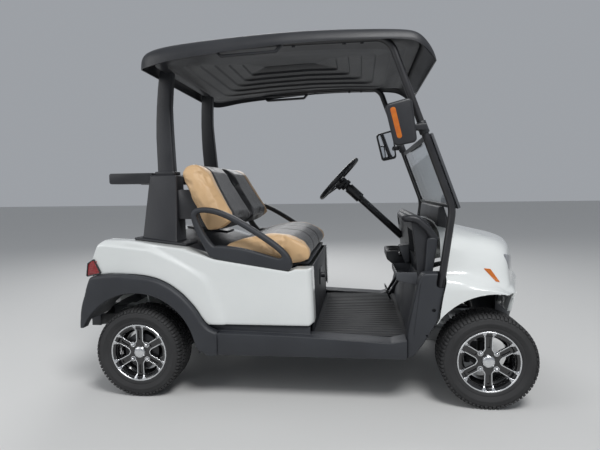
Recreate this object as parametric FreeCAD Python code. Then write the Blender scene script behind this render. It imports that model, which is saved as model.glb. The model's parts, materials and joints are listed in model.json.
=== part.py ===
# Two-seat golf cart with a folded windshield and a fixed canopy, in millimetres.
# +X points forward, +Y to the driver's side, which is the left, and +Z up.
# The origin lies on the ground, at the middle of the length and the width.
import FreeCAD, Part
import math
import os

V = FreeCAD.Vector

# Driving dimensions
WHEELBASE = 1664.0
FRONT_OVERHANG = 273.0
REAR_OVERHANG = 393.0
TYRE_RADIUS = 219.0
TYRE_WIDTH = 186.0
FRONT_TRACK = 966.0
REAR_TRACK = 984.0
ROOF_HEIGHT = 1748.0
ROOF_HALF_WIDTH = 590.0
BODY_HALF_WIDTH = 560.0
FLARE_HALF_WIDTH = 592.0
COWL_HALF_WIDTH = 592.0

# Walls and clearances
PANEL = 10.0
ROOF_WALL = 8.0
SEAM = 0.3
ARCH_GAP = 81.0
FRONT_ARCH_GAP = 100.0
FRONT_ARCH_SHIFT = 26.0
FLARE_DEPTH = 46.0

# Frame and floor, as heights above the axle line
RAIL_INNER_Y = 150.0
RAIL_WIDTH = 60.0
RAIL_BOTTOM = -15.0
RAIL_TOP = 60.0
RAIL_KICK_BOTTOM = 90.0
RAIL_KICK_TOP = 150.0
FLOOR_THICK = 20.0
MAT_THICK = 5.0
SILL_INNER_Y = 480.0
SILL_OUTER_Y = 585.0
SILL_TOP = 112.0
SKIRT_LINE = 145.0
SILL_BOTTOM = 5.0
CABIN_HALF_WIDTH = 440.0

# Wheels
RIM_RADIUS = 127.0
RIM_FLANGE = 16.0
RIM_WALL = 5.0
BEAD_HALF_WIDTH = 79.0
HUB_RADIUS = 52.0
CAP_RADIUS = 32.0
AXLE_RADIUS = 14.0
SPOKES = 6
SPOKE_HALF_WIDTH = 19.0
SPOKE_THICK = 16.0
SPOKE_FACE = 63.0
HUB_BACK = 40.0
TYRE_WALL = 9.0
LUG_NUTS = 4
LUG_CIRCLE = 50.8

# Steering
KINGPIN_Y = 410.0
KINGPIN_RADIUS = 8.0
KNUCKLE_RADIUS = 20.0
KNUCKLE_HALF = 50.0
STEERING_ARM = 66.0
TIE_ROD_RADIUS = 7.0
TIE_ROD_DROP = 45.0
ARM_THICK = 14.0
LOWER_ARM = -74.0
UPPER_ARM = 56.0
COLUMN_ANGLE = 43.0
COLUMN_RADIUS = 22.0
STEERING_WHEEL_RADIUS = 158.0
STEERING_WHEEL_TUBE = 14.0
DRIVER_Y = 270.0

# Canopy supports
TUBE_RADIUS = 17.0
TUBE_Y = 545.0
TUBE_RUN_DROP = 69.0
TUBE_END = 285.0
STRUT_THICK = 50.0
STRUT_TOP_DROP = 119.0
MIRROR_DROP = 400.0
TOWER_TOP = 875.0
PANE = 5.0
PANE_HALF_WIDTH = 515.0
PANE_SPACING = 27.0

# Cup holders and seat hinge
CUP_RADIUS = 40.0
CUP_DEPTH = 60.0
CUP_Y = 60.0
HINGE_RADIUS = 5.0
HINGE_Y = 300.0

AXLE_Z = TYRE_RADIUS
OVERALL_LENGTH = WHEELBASE + FRONT_OVERHANG + REAR_OVERHANG
FRONT_X = OVERALL_LENGTH / 2 - FRONT_OVERHANG
REAR_X = FRONT_X - WHEELBASE
REAR_END = -REAR_OVERHANG
ARCH_RADIUS = TYRE_RADIUS + ARCH_GAP
FRONT_ARCH = TYRE_RADIUS + FRONT_ARCH_GAP
FLOOR_TOP = RAIL_TOP + FLOOR_THICK
RAIL_OUTER_Y = RAIL_INNER_Y + RAIL_WIDTH
ROOF_TOP = ROOF_HEIGHT - AXLE_Z
TUBE_RUN = ROOF_TOP - TUBE_RUN_DROP

# Stations along the cart, from the rear axle or the front axle
BULKHEAD = 372.0
POD_FRONT = 860.0
POD_TOP = 417.0
FLARE_FOOT = 404.0
TUB_FRONT = -31.0
LINER_Y = 365.0
BUMPER_BOTTOM = 42.0
BUMPER_HEIGHT = 108.0
HINGE_X = 396.0
HINGE_Z = 480.0
SILL_FRONT = -366.0
DASH_HALF_WIDTH = 492.0
DASH_BOTTOM = 330.0


def shifted(points, x, z):
    return [(p[0] + x, p[1] + z) + tuple(p[2:]) for p in points]


def rear(points):
    """Points (x, z) counted from the rear axle, in the cart's own frame."""
    return shifted(points, REAR_X, AXLE_Z)


def front(points):
    """Points (x, z) counted from the front axle, in the cart's own frame."""
    return shifted(points, FRONT_X, AXLE_Z)


def place(plane, u, v, at):
    if plane == "XZ":
        return V(u, at, v)
    if plane == "XY":
        return V(u, v, at)
    return V(at, u, v)


def corner(before, point, after, radius):
    """Start, middle and end of the arc that rounds a corner."""
    a = (before - point).normalize()
    b = (after - point).normalize()
    half = a.getAngle(b) / 2
    reach = radius / math.tan(half)
    towards = (a + b).normalize()
    centre = point + towards * (radius / math.sin(half))
    return point + a * reach, centre - towards * radius, point + b * reach


def wire(points, plane, at=0.0, closed=True):
    """Outline of lines. A point is (u, v) or (u, v, radius of its rounded corner)."""
    spots = [place(plane, p[0], p[1], at) for p in points]
    count = len(points)
    edges = []
    starts = []
    ends = []
    for i, p in enumerate(points):
        inner = closed or 0 < i < count - 1
        if len(p) > 2 and p[2] > 0 and inner:
            first, middle, last = corner(spots[i - 1], spots[i], spots[(i + 1) % count], p[2])
            starts.append(first)
            ends.append(last)
            edges.append(Part.Arc(first, middle, last).toShape())
        else:
            starts.append(spots[i])
            ends.append(spots[i])
    for i in range(count if closed else count - 1):
        a = ends[i]
        b = starts[(i + 1) % count]
        if a.distanceToPoint(b) > 1e-6:
            edges.append(Part.LineSegment(a, b).toShape())
    return Part.Wire(Part.__sortEdges__(edges))


def prism(points, plane, low, high):
    """Outline in XZ, XY or YZ, drawn out along the third axis from low to high."""
    along = {"XZ": V(0, 1, 0), "XY": V(0, 0, 1), "YZ": V(1, 0, 0)}[plane]
    return Part.Face(wire(points, plane, low)).extrude(along * (high - low))


def box(x, y, z):
    """Block from three pairs of limits."""
    return Part.makeBox(x[1] - x[0], y[1] - y[0], z[1] - z[0], V(x[0], y[0], z[0]))


def rod(start, end, radius):
    return Part.makeCylinder(radius, start.distanceToPoint(end), start, end - start)


def mirrored(shape):
    return shape.mirror(V(0, 0, 0), V(0, 1, 0))


def pair(shape):
    return Part.makeCompound([shape, mirrored(shape)])


def joined(shapes):
    whole = shapes[0]
    if len(shapes) > 1:
        whole = whole.multiFuse(shapes[1:])
    return whole.removeSplitter()


def shell(points, plane, low, high, wall, open_side):
    """Moulded panel: a prism with a wall on its outer face and round its edge."""
    outer = prism(points, plane, low, high)
    face = Part.Face(wire(points, plane, low if open_side < 0 else high))
    inner = face.makeOffset2D(-wall)
    along = {"XZ": V(0, 1, 0), "XY": V(0, 0, 1), "YZ": V(1, 0, 0)}[plane]
    return outer.cut(inner.extrude(along * (-open_side) * (high - low - wall)))


# Deck line of the rear body: (x, z) from the rear axle
DECK = [(-183, 555), (-60, 549), (226, 514), (387, 462), (752, 404)]


def deck_z(x):
    for (x0, z0), (x1, z1) in zip(DECK, DECK[1:]):
        if x <= x1:
            return z0 + (z1 - z0) * (x - x0) / (x1 - x0)
    return DECK[-1][1]


def under_deck(x0, x1, top, bottom, low, high):
    """Slab that follows the deck line, between two heights counted from it."""
    stops = [x0] + [p[0] for p in DECK if x0 < p[0] < x1] + [x1]
    upper = [(x, deck_z(x) + top) for x in stops]
    lower = [(x, deck_z(x) + bottom) for x in reversed(stops)]
    return prism(rear(upper + lower), "XZ", low, high)


# Frame and floor

def frame_rails():
    side = rear([(-238, RAIL_KICK_BOTTOM), (-238, RAIL_KICK_TOP), (165, RAIL_KICK_TOP), (300, RAIL_TOP)])
    side += front([(100, RAIL_TOP), (100, RAIL_BOTTOM)])
    side += rear([(290, RAIL_BOTTOM), (150, RAIL_KICK_BOTTOM)])
    return pair(prism(side, "XZ", RAIL_INNER_Y, RAIL_OUTER_Y))


def cross_members():
    # Place along the cart, bottom and top of each beam between the rails
    beams = [
        (REAR_X - 200, RAIL_KICK_BOTTOM + 5, RAIL_KICK_TOP - 5),
        (REAR_X + 340, RAIL_BOTTOM + 5, RAIL_TOP - 5),
        (REAR_X + 700, RAIL_BOTTOM + 5, RAIL_TOP - 5),
        (FRONT_X - 420, RAIL_BOTTOM + 5, RAIL_TOP - 5),
        (FRONT_X - 95, RAIL_BOTTOM + 5, RAIL_TOP - 5),
        (FRONT_X + 65, RAIL_BOTTOM + 5, RAIL_TOP - 5),
    ]
    solids = []
    for x, bottom, top in beams:
        limits = (AXLE_Z + bottom, AXLE_Z + top)
        solids.append(box((x - 25, x + 25), (-RAIL_INNER_Y, RAIL_INNER_Y), limits))
    for x in (REAR_X + 480, REAR_X + 830, FRONT_X - 410):
        limits = (AXLE_Z + RAIL_TOP - 40, AXLE_Z + RAIL_TOP)
        arm = box((x - 25, x + 25), (RAIL_OUTER_Y, SILL_OUTER_Y - PANEL), limits)
        solids += [arm, mirrored(arm)]
    return Part.makeCompound(solids)


def riser_x(z):
    """Rear face of the toe board, from the front axle."""
    return -352 + (z - FLOOR_TOP) * 52 / (DASH_BOTTOM - FLOOR_TOP)


def floor_pan():
    side = rear([(BULKHEAD + PANEL, RAIL_TOP)])
    side += front([(riser_x(FLOOR_TOP) + 13, RAIL_TOP), (riser_x(DASH_BOTTOM) + 13, DASH_BOTTOM)])
    side += front([(riser_x(DASH_BOTTOM), DASH_BOTTOM), (riser_x(FLOOR_TOP), FLOOR_TOP)])
    side += rear([(BULKHEAD + PANEL, FLOOR_TOP)])
    return prism(side, "XZ", -SILL_INNER_Y, SILL_INNER_Y)


def floor_mat():
    x = (REAR_X + POD_FRONT, FRONT_X + riser_x(FLOOR_TOP))
    half = SILL_INNER_Y - 8
    return box(x, (-half, half), (AXLE_Z + FLOOR_TOP, AXLE_Z + FLOOR_TOP + MAT_THICK))


def sill():
    side = rear([(FLARE_FOOT, SILL_BOTTOM), (FLARE_FOOT, SILL_TOP), (815, SILL_TOP - 8)])
    side += front([(-590, 90), (-437, 83, 40), (SILL_FRONT, 100), (SILL_FRONT, SILL_BOTTOM + 3)])
    board = shell(side, "XZ", SILL_INNER_Y, SILL_OUTER_Y, PANEL, -1)
    # Set-back strip between the board and the white panel above it
    strip = [(314, 120), (314, 178), (350, 156), (393, SKIRT_LINE - 3), (POD_FRONT - 10, SKIRT_LINE - 3)]
    strip += [(POD_FRONT - 10, SILL_TOP - 14), (FLARE_FOOT, SILL_TOP - 8), (350, 112)]
    return joined([board, prism(rear(strip), "XZ", BODY_HALF_WIDTH - 32, BODY_HALF_WIDTH - 22)])


# Rear body

# Side outline of the rear flare from its top over the wheel and down to the sill, from the rear axle
FLARE = [(-140, 390), (-12, 387, 300), (51, 381, 250), (114, 366, 250), (175, 336, 250), (236, 291, 250)]
FLARE += [(296, 225, 250), (331, 168, 150), (361, 134, 80), (FLARE_FOOT, SILL_TOP + 1)]
FLARE += [(FLARE_FOOT, SILL_BOTTOM), (250, SILL_BOTTOM), (0, 60), (-235, 125), (-291, 125), (-263, 294, 60), (-234, 378, 20)]


def flare_face(grow=0.0):
    """Side outline of the rear wheel flare, before its arch is cut."""
    face = Part.Face(wire(rear(FLARE), "XZ"))
    return face.makeOffset2D(grow) if grow else face


def flare_block(low, high, grow=0.0):
    face = flare_face(grow)
    face.translate(V(0, low, 0))
    return face.extrude(V(0, high - low, 0))


def wheel_hole(radius, low, high, x):
    return Part.makeCylinder(radius, high - low, V(x, low, AXLE_Z), V(0, 1, 0))


def rear_flare():
    lip_y = FLARE_HALF_WIDTH - FLARE_DEPTH
    ring = flare_block(lip_y, FLARE_HALF_WIDTH)
    liner = flare_block(LINER_Y, lip_y)
    liner = liner.common(wheel_hole(ARCH_RADIUS + 6, LINER_Y, lip_y, REAR_X))
    tail = box((REAR_X - 400, REAR_X), (LINER_Y - 1, lip_y), (AXLE_Z, AXLE_Z + 155))
    liner = liner.cut(tail)
    flare = joined([ring, liner]).cut(wheel_hole(ARCH_RADIUS, 300, 700, REAR_X))
    # The foot runs in a curve from the arch to the sill
    foot = prism(rear([(200, -60), (355, -60), (355, 5.0, 40), (297, 42, 30), (200, 60)]), "XZ", LINER_Y - 1, FLARE_HALF_WIDTH + 1)
    return flare.cut(foot)


def tail_lens_outline():
    return rear([(-262, 374, 8), (-252, 444, 8), (-217, 466, 6), (-180, 392, 8)])


def tail_light():
    return prism(tail_lens_outline(), "XZ", BODY_HALF_WIDTH - 80, BODY_HALF_WIDTH + 4)


def rear_quarter():
    # Side outline of the white rear body, from its top rear corner clockwise
    side = [(-183, 555, 20), (-60, 549), (226, 514), (387, 462), (752, 404), (782, 418)]
    side += [(POD_FRONT, POD_TOP, 10), (POD_FRONT + 8, SKIRT_LINE + 40), (POD_FRONT - 8, SKIRT_LINE, 12)]
    side += [(393, SKIRT_LINE), (349, SKIRT_LINE + 15), (312, SKIRT_LINE + 39), (282, SKIRT_LINE + 69)]
    side += [(0, 250), (-243, 300), (-243, 384), (-231, 460), (-206, 522)]
    face = Part.Face(wire(rear(side), "XZ", 0)).cut(flare_face(SEAM)).Faces[0]
    skin = face.copy()
    skin.translate(V(0, CABIN_HALF_WIDTH, 0))
    outer = skin.extrude(V(0, BODY_HALF_WIDTH - CABIN_HALF_WIDTH, 0))
    inner = face.makeOffset2D(-PANEL)
    inner.translate(V(0, CABIN_HALF_WIDTH - 1, 0))
    hollow = inner.extrude(V(0, BODY_HALF_WIDTH - CABIN_HALF_WIDTH - PANEL + 1, 0))
    # The shoulder above the crease leans in towards the deck
    crease = AXLE_Z + 512
    lean = [(BODY_HALF_WIDTH + 1, crease), (BODY_HALF_WIDTH - 60, crease + 44), (BODY_HALF_WIDTH + 1, crease + 60)]
    shoulder = prism(lean, "YZ", REAR_X - 300, REAR_X + 240)
    hollow = hollow.cut(shoulder.translated(V(0, -PANEL, -PANEL)))
    lens = prism(tail_lens_outline(), "XZ", BODY_HALF_WIDTH - 80, BODY_HALF_WIDTH + 4)
    return outer.cut(hollow).cut(shoulder).cut(lens)


def tub_plan(inset, low, high):
    """Plan of the bag well with its bowed tail, drawn up between two heights."""
    half = CABIN_HALF_WIDTH - inset
    a = V(REAR_X + TUB_FRONT - inset, half, 0)
    b = V(REAR_X - 255 + inset, half, 0)
    tail = V(REAR_X - 338 + inset, 0, 0)
    edges = [Part.LineSegment(a, b).toShape()]
    edges.append(Part.Arc(b, tail, V(b.x, -half, 0)).toShape())
    edges.append(Part.LineSegment(V(b.x, -half, 0), V(a.x, -half, 0)).toShape())
    edges.append(Part.LineSegment(V(a.x, -half, 0), a).toShape())
    face = Part.Face(Part.Wire(edges))
    face.translate(V(0, 0, AXLE_Z + low))
    return face.extrude(V(0, 0, high - low))


def bag_well():
    top = [(TUB_FRONT, 150), (TUB_FRONT, deck_z(TUB_FRONT)), (-60, 549), (-183, 555), (-206, 522)]
    side = prism(rear(top + [(-243, 384, 20), (-345, 384), (-345, 150)]), "XZ", -500, 500)
    tub = tub_plan(0, 150, 600).common(side)
    tub = tub.cut(tub_plan(PANEL, 270, 620)).cut(tub_plan(PANEL, 140, 260))
    for y in (LINER_Y - 1, -CABIN_HALF_WIDTH - 1):
        tub = tub.cut(wheel_hole(ARCH_RADIUS + 6 + SEAM, y, y + CABIN_HALF_WIDTH - LINER_Y + 2, REAR_X))
    return tub


def bumper_plan(tail, corner_x, half):
    a = V(REAR_X + corner_x, half, AXLE_Z + BUMPER_BOTTOM)
    return a, V(REAR_X + tail, 0, a.z), V(a.x, -half, a.z)


def rear_bumper():
    outer = bumper_plan(REAR_END, REAR_END + 74, 435)
    inner = bumper_plan(REAR_END + 62, REAR_END + 124, 435)
    edges = [Part.Arc(*outer).toShape(), Part.LineSegment(outer[2], inner[2]).toShape()]
    edges += [Part.Arc(inner[2], inner[1], inner[0]).toShape(), Part.LineSegment(inner[0], outer[0]).toShape()]
    bar = Part.Face(Part.Wire(edges)).extrude(V(0, 0, BUMPER_HEIGHT))
    bracket = box((REAR_X + REAR_END + 60, REAR_X - 238), (RAIL_INNER_Y, RAIL_OUTER_Y), (AXLE_Z + 95, AXLE_Z + 145))
    return joined([bar, bracket, mirrored(bracket)])


def rear_deck():
    return under_deck(TUB_FRONT, BULKHEAD, 0, -12, -CABIN_HALF_WIDTH, CABIN_HALF_WIDTH)


def bulkhead():
    x = (REAR_X + BULKHEAD, REAR_X + BULKHEAD + PANEL)
    wall = box(x, (-CABIN_HALF_WIDTH, CABIN_HALF_WIDTH), (AXLE_Z + RAIL_TOP, AXLE_Z + deck_z(BULKHEAD + PANEL)))
    parts = [wall]
    axis_z = AXLE_Z + HINGE_Z
    for y in (-HINGE_Y, HINGE_Y):
        parts.append(rod(V(REAR_X + HINGE_X, y - 30, axis_z), V(REAR_X + HINGE_X, y + 30, axis_z), HINGE_RADIUS))
        ear = [(BULKHEAD, 440), (BULKHEAD + PANEL, 430), (HINGE_X + 9, HINGE_Z - 8), (HINGE_X + 9, HINGE_Z + 9, 5)]
        ear += [(HINGE_X - 9, HINGE_Z + 9, 5), (BULKHEAD, deck_z(BULKHEAD))]
        for side in (-1, 1):
            edge = sorted((y + side * 22, y + side * 30))
            parts.append(prism(rear(ear), "XZ", edge[0], edge[1]))
    return joined(parts)


def seat_pod_front():
    x = (REAR_X + POD_FRONT - 14, REAR_X + POD_FRONT - 4)
    return box(x, (-CABIN_HALF_WIDTH, CABIN_HALF_WIDTH), (AXLE_Z + FLOOR_TOP, AXLE_Z + POD_TOP - 4))


def battery_pack():
    x = (REAR_X + 420, REAR_X + 720)
    return box(x, (-230, 230), (AXLE_Z + FLOOR_TOP, AXLE_Z + FLOOR_TOP + 250))


# Canopy

# Sections of the canopy: place along the cart, share of the half width, drop of the top,
# drop of the skirt's edge and radius of the shoulder
CANOPY = [
    (REAR_X + 40, 0.86, 122, 150, 10), (REAR_X + 66, 0.94, 78, 153, 25), (REAR_X + 108, 0.985, 53, 157, 45),
    (REAR_X + 275, 1.0, 26, 123, 55), (REAR_X + 525, 1.0, 9, 103, 55), (REAR_X + 790, 1.0, 0, 80, 50),
    (FRONT_X - 620, 1.0, 4, 80, 50), (FRONT_X - 400, 1.0, 17, 88, 45), (FRONT_X - 329, 0.995, 25, 97, 40),
    (FRONT_X - 295, 0.97, 55, 121, 35), (FRONT_X - 250, 0.92, 112, 156, 18), (FRONT_X - 233, 0.86, 148, 170, 8),
]


def roof_block(inset):
    """Outer form of the canopy, or the hollow inside it when inset by its wall."""
    sections = []
    for i, (x, share, drop, skirt, radius) in enumerate(CANOPY):
        if i == 0:
            x += inset
        if i == len(CANOPY) - 1:
            x -= inset
        half = ROOF_HALF_WIDTH * share - inset
        top = ROOF_HEIGHT - drop - inset
        low = ROOF_HEIGHT - skirt - (60 if inset else 0)
        edge = top - 16
        ring = max(radius - inset, 3)
        outline = [(-half, low), (-half, edge, ring), (-half * 0.5, top), (half * 0.5, top)]
        outline += [(half, edge, ring), (half, low)]
        sections.append(wire(outline, "YZ", x))
    return Part.makeLoft(sections, True, True)


def roof():
    hollow = roof_block(ROOF_WALL)
    skin = roof_block(0).cut(hollow)
    pads = []
    for y in (-340, 340):
        pads.append(box((REAR_X + 55, REAR_X + 155), (y - 40, y + 40), (ROOF_HEIGHT - STRUT_TOP_DROP, ROOF_HEIGHT)))
    tube_top = AXLE_Z + TUBE_RUN + TUBE_RADIUS + SEAM
    run = (REAR_X + TUBE_END + 25, FRONT_X - 520)
    for share in (0.0, 0.5, 1.0):
        x = run[0] + share * (run[1] - run[0])
        for y in (-TUBE_Y, TUBE_Y):
            pads.append(box((x - 20, x + 20), (y - 14, y + 14), (tube_top, ROOF_HEIGHT)))
    # Stepped ribs that run along the underside
    lowered = roof_block(ROOF_WALL)
    lowered.translate(V(0, 0, -16))
    for y in (-400, -200, 0, 200, 400):
        rib = box((REAR_X + 170, FRONT_X - 420), (y - 45, y + 45), (ROOF_HEIGHT - 75, ROOF_HEIGHT))
        pads.append(rib.cut(lowered))
    inside = [pad.common(hollow) for pad in pads]
    return joined([skin] + inside)


def rear_strut():
    # Share of the height, rear and front edge from the rear axle, and inner face
    table = [(0.0, 59, 148, 355), (0.36, 49, 134, 338), (0.65, 51, 126, 324), (1.0, 66, 138, 308)]
    sections = []
    for share, back, ahead, inner in table:
        z = TOWER_TOP + share * (ROOF_TOP - STRUT_TOP_DROP - TOWER_TOP)
        outer = inner + STRUT_THICK
        plan = [(REAR_X + back, inner, 10), (REAR_X + ahead, inner, 10)]
        plan += [(REAR_X + ahead, outer, 10), (REAR_X + back, outer, 10)]
        sections.append(wire(plan, "XY", AXLE_Z + z))
    return Part.makeLoft(sections, True, True)


def tower():
    foot = under_deck(-53, 223, 14, 0, 285, 462)
    side = rear([(-25, 480), (25, TOWER_TOP, 8), (168, TOWER_TOP, 8), (166, 480)])
    body = prism(side, "XZ", 250, 500)
    across = [(300, AXLE_Z + 480), (450, AXLE_Z + 480), (425, AXLE_Z + TOWER_TOP), (330, AXLE_Z + TOWER_TOP)]
    body = body.common(prism(across, "YZ", REAR_X - 100, REAR_X + 250))
    body = body.cut(under_deck(-53, 223, 14, -200, 200, 500))
    return joined([foot, body])


def bag_rack():
    side = rear([(-202, 888, 12), (30, 888), (30, 833), (-202, 833, 12)])
    bar = prism(side, "XZ", -410, 410)
    for y in (-190, 190):
        bar = bar.cut(Part.makeCylinder(130, 200, V(REAR_X - 215, y, AXLE_Z + 760), V(0, 0, 1)))
    return bar


def front_tube():
    """Bent tube from the side cover up past the windshield and back along the canopy."""
    path = front([(-214, 337), (-164, 699, 160), (-444, TUBE_RUN, 90)]) + rear([(TUBE_END, TUBE_RUN)])
    spine = wire(path, "XZ", TUBE_Y, closed=False)
    start = V(FRONT_X - 214, TUBE_Y, AXLE_Z + 337)
    heading = V(50, 0, 362)
    ring = Part.Wire(Part.makeCircle(TUBE_RADIUS, start, heading))
    return spine.makePipeShell([ring], True, False)


# Front body

# Outlines of the cowl from its rear edge over the top to its lip, (x, z) from the front axle,
# each at a share of the half width
COWL = [
    (0.0, [(-161, 612), (-60, 587), (60, 552), (140, 524), (195, 490), (225, 440), (240, 385), (247, 346), (273, 303), (269, 277)]),
    (0.338, [(-161, 608), (-60, 582), (40, 549), (118, 520), (165, 482), (187, 430), (196, 378), (199, 346), (219, 303), (215, 277)]),
    (0.591, [(-161, 591), (-62, 566), (22, 541), (85, 511), (120, 473), (139, 422), (148, 374), (152, 344), (173, 303), (169, 277)]),
    (0.726, [(-161, 571), (-66, 547), (8, 522), (60, 490), (91, 452), (110, 404), (120, 364), (126, 340), (147, 305), (143, 279)]),
    (0.79, [(-163, 546), (-70, 521), (0, 493), (46, 461), (76, 424), (95, 385), (106, 354), (113, 334), (135, 306), (131, 281)]),
    (0.831, [(-166, 517), (-76, 482), (-12, 450), (30, 420), (58, 392), (79, 364), (93, 343), (101, 328), (124, 307), (120, 283)]),
    (0.875, [(-178, 420), (-96, 412), (-42, 396), (-6, 380), (24, 364), (50, 347), (70, 333), (82, 323), (106, 309), (102, 287)]),
    (0.946, [(-186, 386), (-122, 379), (-74, 367), (-32, 355), (0, 346), (26, 338), (48, 330), (64, 322), (86, 312), (82, 293)]),
    (0.98, [(-189, 366), (-132, 361), (-86, 352), (-46, 346), (-12, 341), (14, 336), (36, 330), (54, 324), (74, 315), (70, 297)]),
    (1.0, [(-200, 300), (-142, 322), (-96, 332), (-56, 334), (-22, 334), (4, 333), (26, 331), (44, 328), (62, 322), (58, 302)]),
]
COWL_FOOT = (-227.0, 172.0)
LIP = 303.0


def cowl_block(wall):
    """Outer form of the cowl, or the hollow inside it when inset by its wall."""
    half = COWL_HALF_WIDTH - wall
    rows = [(-share, line) for share, line in reversed(COWL[1:])] + COWL
    sections = []
    for share, line in rows:
        spots = [V(x, 0, z) for x, z in line]
        inset = []
        for i, spot in enumerate(spots):
            along = spots[min(i + 1, len(spots) - 1)] - spots[max(i - 1, 0)]
            out = V(-along.z, 0, along.x).normalize()
            inset.append(spot - out * wall)
        if wall:
            inset[0] = inset[0] + V(-2 * wall, 0, 0)
            inset[-1] = inset[-1] + V(0, 0, -10 * wall)
        foot = V(COWL_FOOT[0] - 2 * wall, 0, COWL_FOOT[1] - 8 * wall)
        sections.append(wire(front([(p.x, p.z) for p in inset + [foot]]), "XZ", share * half))
    return Part.makeLoft(sections, True, True)


def cowl_envelope():
    return cowl_block(0)


def cowl():
    shape = cowl_envelope().cut(cowl_block(PANEL))
    side = wheel_hole(FRONT_ARCH, COWL_HALF_WIDTH - 92, COWL_HALF_WIDTH + 100, FRONT_X + FRONT_ARCH_SHIFT)
    inside = wheel_hole(ARCH_RADIUS - 4, FRONT_TRACK / 2 - TYRE_WIDTH / 2 - 42, COWL_HALF_WIDTH - 90, FRONT_X)
    return shape.cut(pair(joined([side, inside])))


def nose_lower():
    """Dark apron below the lip, between the front wheels."""
    rows = []
    for z, drop in ((20, 60), (150, 20), (LIP - 5, -2)):
        a = V(FRONT_X + 105, 250, AXLE_Z + z)
        outer = Part.Arc(a, V(FRONT_X + 262 - drop, 0, a.z), V(a.x, -250, a.z)).toShape()
        rows.append(Part.Wire([outer, Part.LineSegment(V(a.x, -250, a.z), a).toShape()]))
    return Part.makeLoft(rows, True, True).cut(cowl())


def side_cover():
    side = [(SILL_FRONT, SILL_BOTTOM + 3), (SILL_FRONT, 86), (-360, 148), (-317, 360, 30), (-296, 405, 20)]
    side += [(-188, 405, 15), (-200, 330), (-229, 184), (-239, 178), (-295, 74), (-337, 20)]
    cover = shell(front(side), "XZ", DASH_HALF_WIDTH, 572, PANEL, -1)
    # Ledge where the canopy tube stands
    step = box((FRONT_X - 250, FRONT_X - 150), (TUBE_Y - TUBE_RADIUS - 1, TUBE_Y + 55), (AXLE_Z + 334, AXLE_Z + 500))
    return cover.cut(step)


def dashboard():
    side = [(-165, 608, 8), (-207, DASH_BOTTOM), (-300, DASH_BOTTOM), (-312, 420)]
    side += [(-324, 540, 20), (-334, 625, 20), (-308, 668, 25), (-250, 652, 30)]
    body = prism(front(side), "XZ", -DASH_HALF_WIDTH, DASH_HALF_WIDTH)
    shelf = front([(-434, 385, 20), (-434, 447, 8), (-300, 447), (-300, 345), (-400, 345, 30)])
    console = prism(shelf, "XZ", -130, 130)
    whole = joined([body, console])
    for y in (-CUP_Y, CUP_Y):
        mouth = V(FRONT_X - 382, y, AXLE_Z + 447 - CUP_DEPTH)
        whole = whole.cut(Part.makeCylinder(CUP_RADIUS, CUP_DEPTH + 1, mouth, V(0, 0, 1)))
    # Open bin before the passenger and a shallow tray beside the steering column
    glove = front([(-400, 470), (-235, 455, 10), (-235, 600, 20), (-400, 610)])
    tray = front([(-400, 560), (-260, 555), (-260, 610), (-400, 615)])
    return whole.cut(prism(glove, "XZ", -460, -180)).cut(prism(tray, "XZ", 310, 460))


def hand_hold():
    """Grab bar across the passenger's side of the dash."""
    y = -330
    start = V(FRONT_X - 330, y + 130, AXLE_Z + 606)
    out = V(-62, 0, 26)
    a = start + out
    b = V(a.x, y - 130, a.z)
    end = V(start.x, y - 130, start.z)
    bar = [rod(start + V(8, 0, -5), a, 11), rod(a, b, 11), rod(end + V(8, 0, -5), b, 11)]
    balls = [Part.makeSphere(11, a), Part.makeSphere(11, b)]
    return joined(bar + balls).cut(dashboard())


def slope_point(z, offset=0.0):
    """Point on the canopy tube's slope at a height, moved forward square to the slope."""
    length = math.hypot(280, TUBE_RUN - 699)
    along = (-280 / length, (TUBE_RUN - 699) / length)
    ahead = (along[1], -along[0])
    x = -164 + (z - 699) * along[0] / along[1]
    return (x + ahead[0] * offset, z + ahead[1] * offset)


def pane(low, high, offset, thick, half):
    a = slope_point(low, offset - thick / 2)
    b = slope_point(high, offset - thick / 2)
    c = slope_point(high, offset + thick / 2)
    d = slope_point(low, offset + thick / 2)
    return prism(front([a, b, c, d]), "XZ", -half, half)


def windshield_lower():
    return pane(712, 1010, 0, PANE, PANE_HALF_WIDTH)


def windshield_upper():
    return pane(690, 1020, PANE_SPACING, PANE, PANE_HALF_WIDTH)


def windshield_trim():
    edge = TUBE_Y - TUBE_RADIUS - SEAM
    strips = []
    for low, high, offset, reach in ((700, 1016, 0, edge), (684, 1026, PANE_SPACING, TUBE_Y + 8)):
        bar = pane(low, high, offset, 18, reach)
        strips.append(bar.cut(pane(low - 50, high + 50, offset, 20, PANE_HALF_WIDTH - 14)))
    hinge = pane(1008, 1030, PANE_SPACING / 2, PANE_SPACING + 10, PANE_HALF_WIDTH)
    foot = prism(front([(-190, 540), (-176, 712), (-135, 694), (-86, 610), (-86, 540)]), "XZ", -500, 500)
    trim = joined(strips + [hinge, foot])
    trim = trim.cut(windshield_lower()).cut(windshield_upper())
    return trim.cut(cowl_envelope()).cut(dashboard())


def mirror_head():
    x, z = slope_point(TUBE_RUN - MIRROR_DROP)
    side = shifted([(-171, 98, 18), (-53, 128, 18), (-29, -66, 18), (-128, -85, 18)], FRONT_X + x, AXLE_Z + z)
    head = prism(side, "XZ", TUBE_Y + 30, TUBE_Y + 68)
    arm = prism(front([(x - 60, z - 12), (x - 60, z + 12), (x + 18, z + 16), (x + 18, z - 16)]), "XZ",
                TUBE_Y + TUBE_RADIUS + SEAM, TUBE_Y + 40)
    return joined([head, arm])


def headlight():
    """Slanted block, seen from the front, that cuts the lamp out of the cowl."""
    across = [(255, 395), (285, 448), (438, 478), (425, 400)]
    return prism([(y, AXLE_Z + z) for y, z in across], "YZ", FRONT_X + 60, FRONT_X + 260)


def marker():
    side = front([(-18, 421), (15, 417), (56, 357), (35, 362)])
    return prism(side, "XZ", COWL_HALF_WIDTH - 150, COWL_HALF_WIDTH + 50)


# Steering

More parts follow.
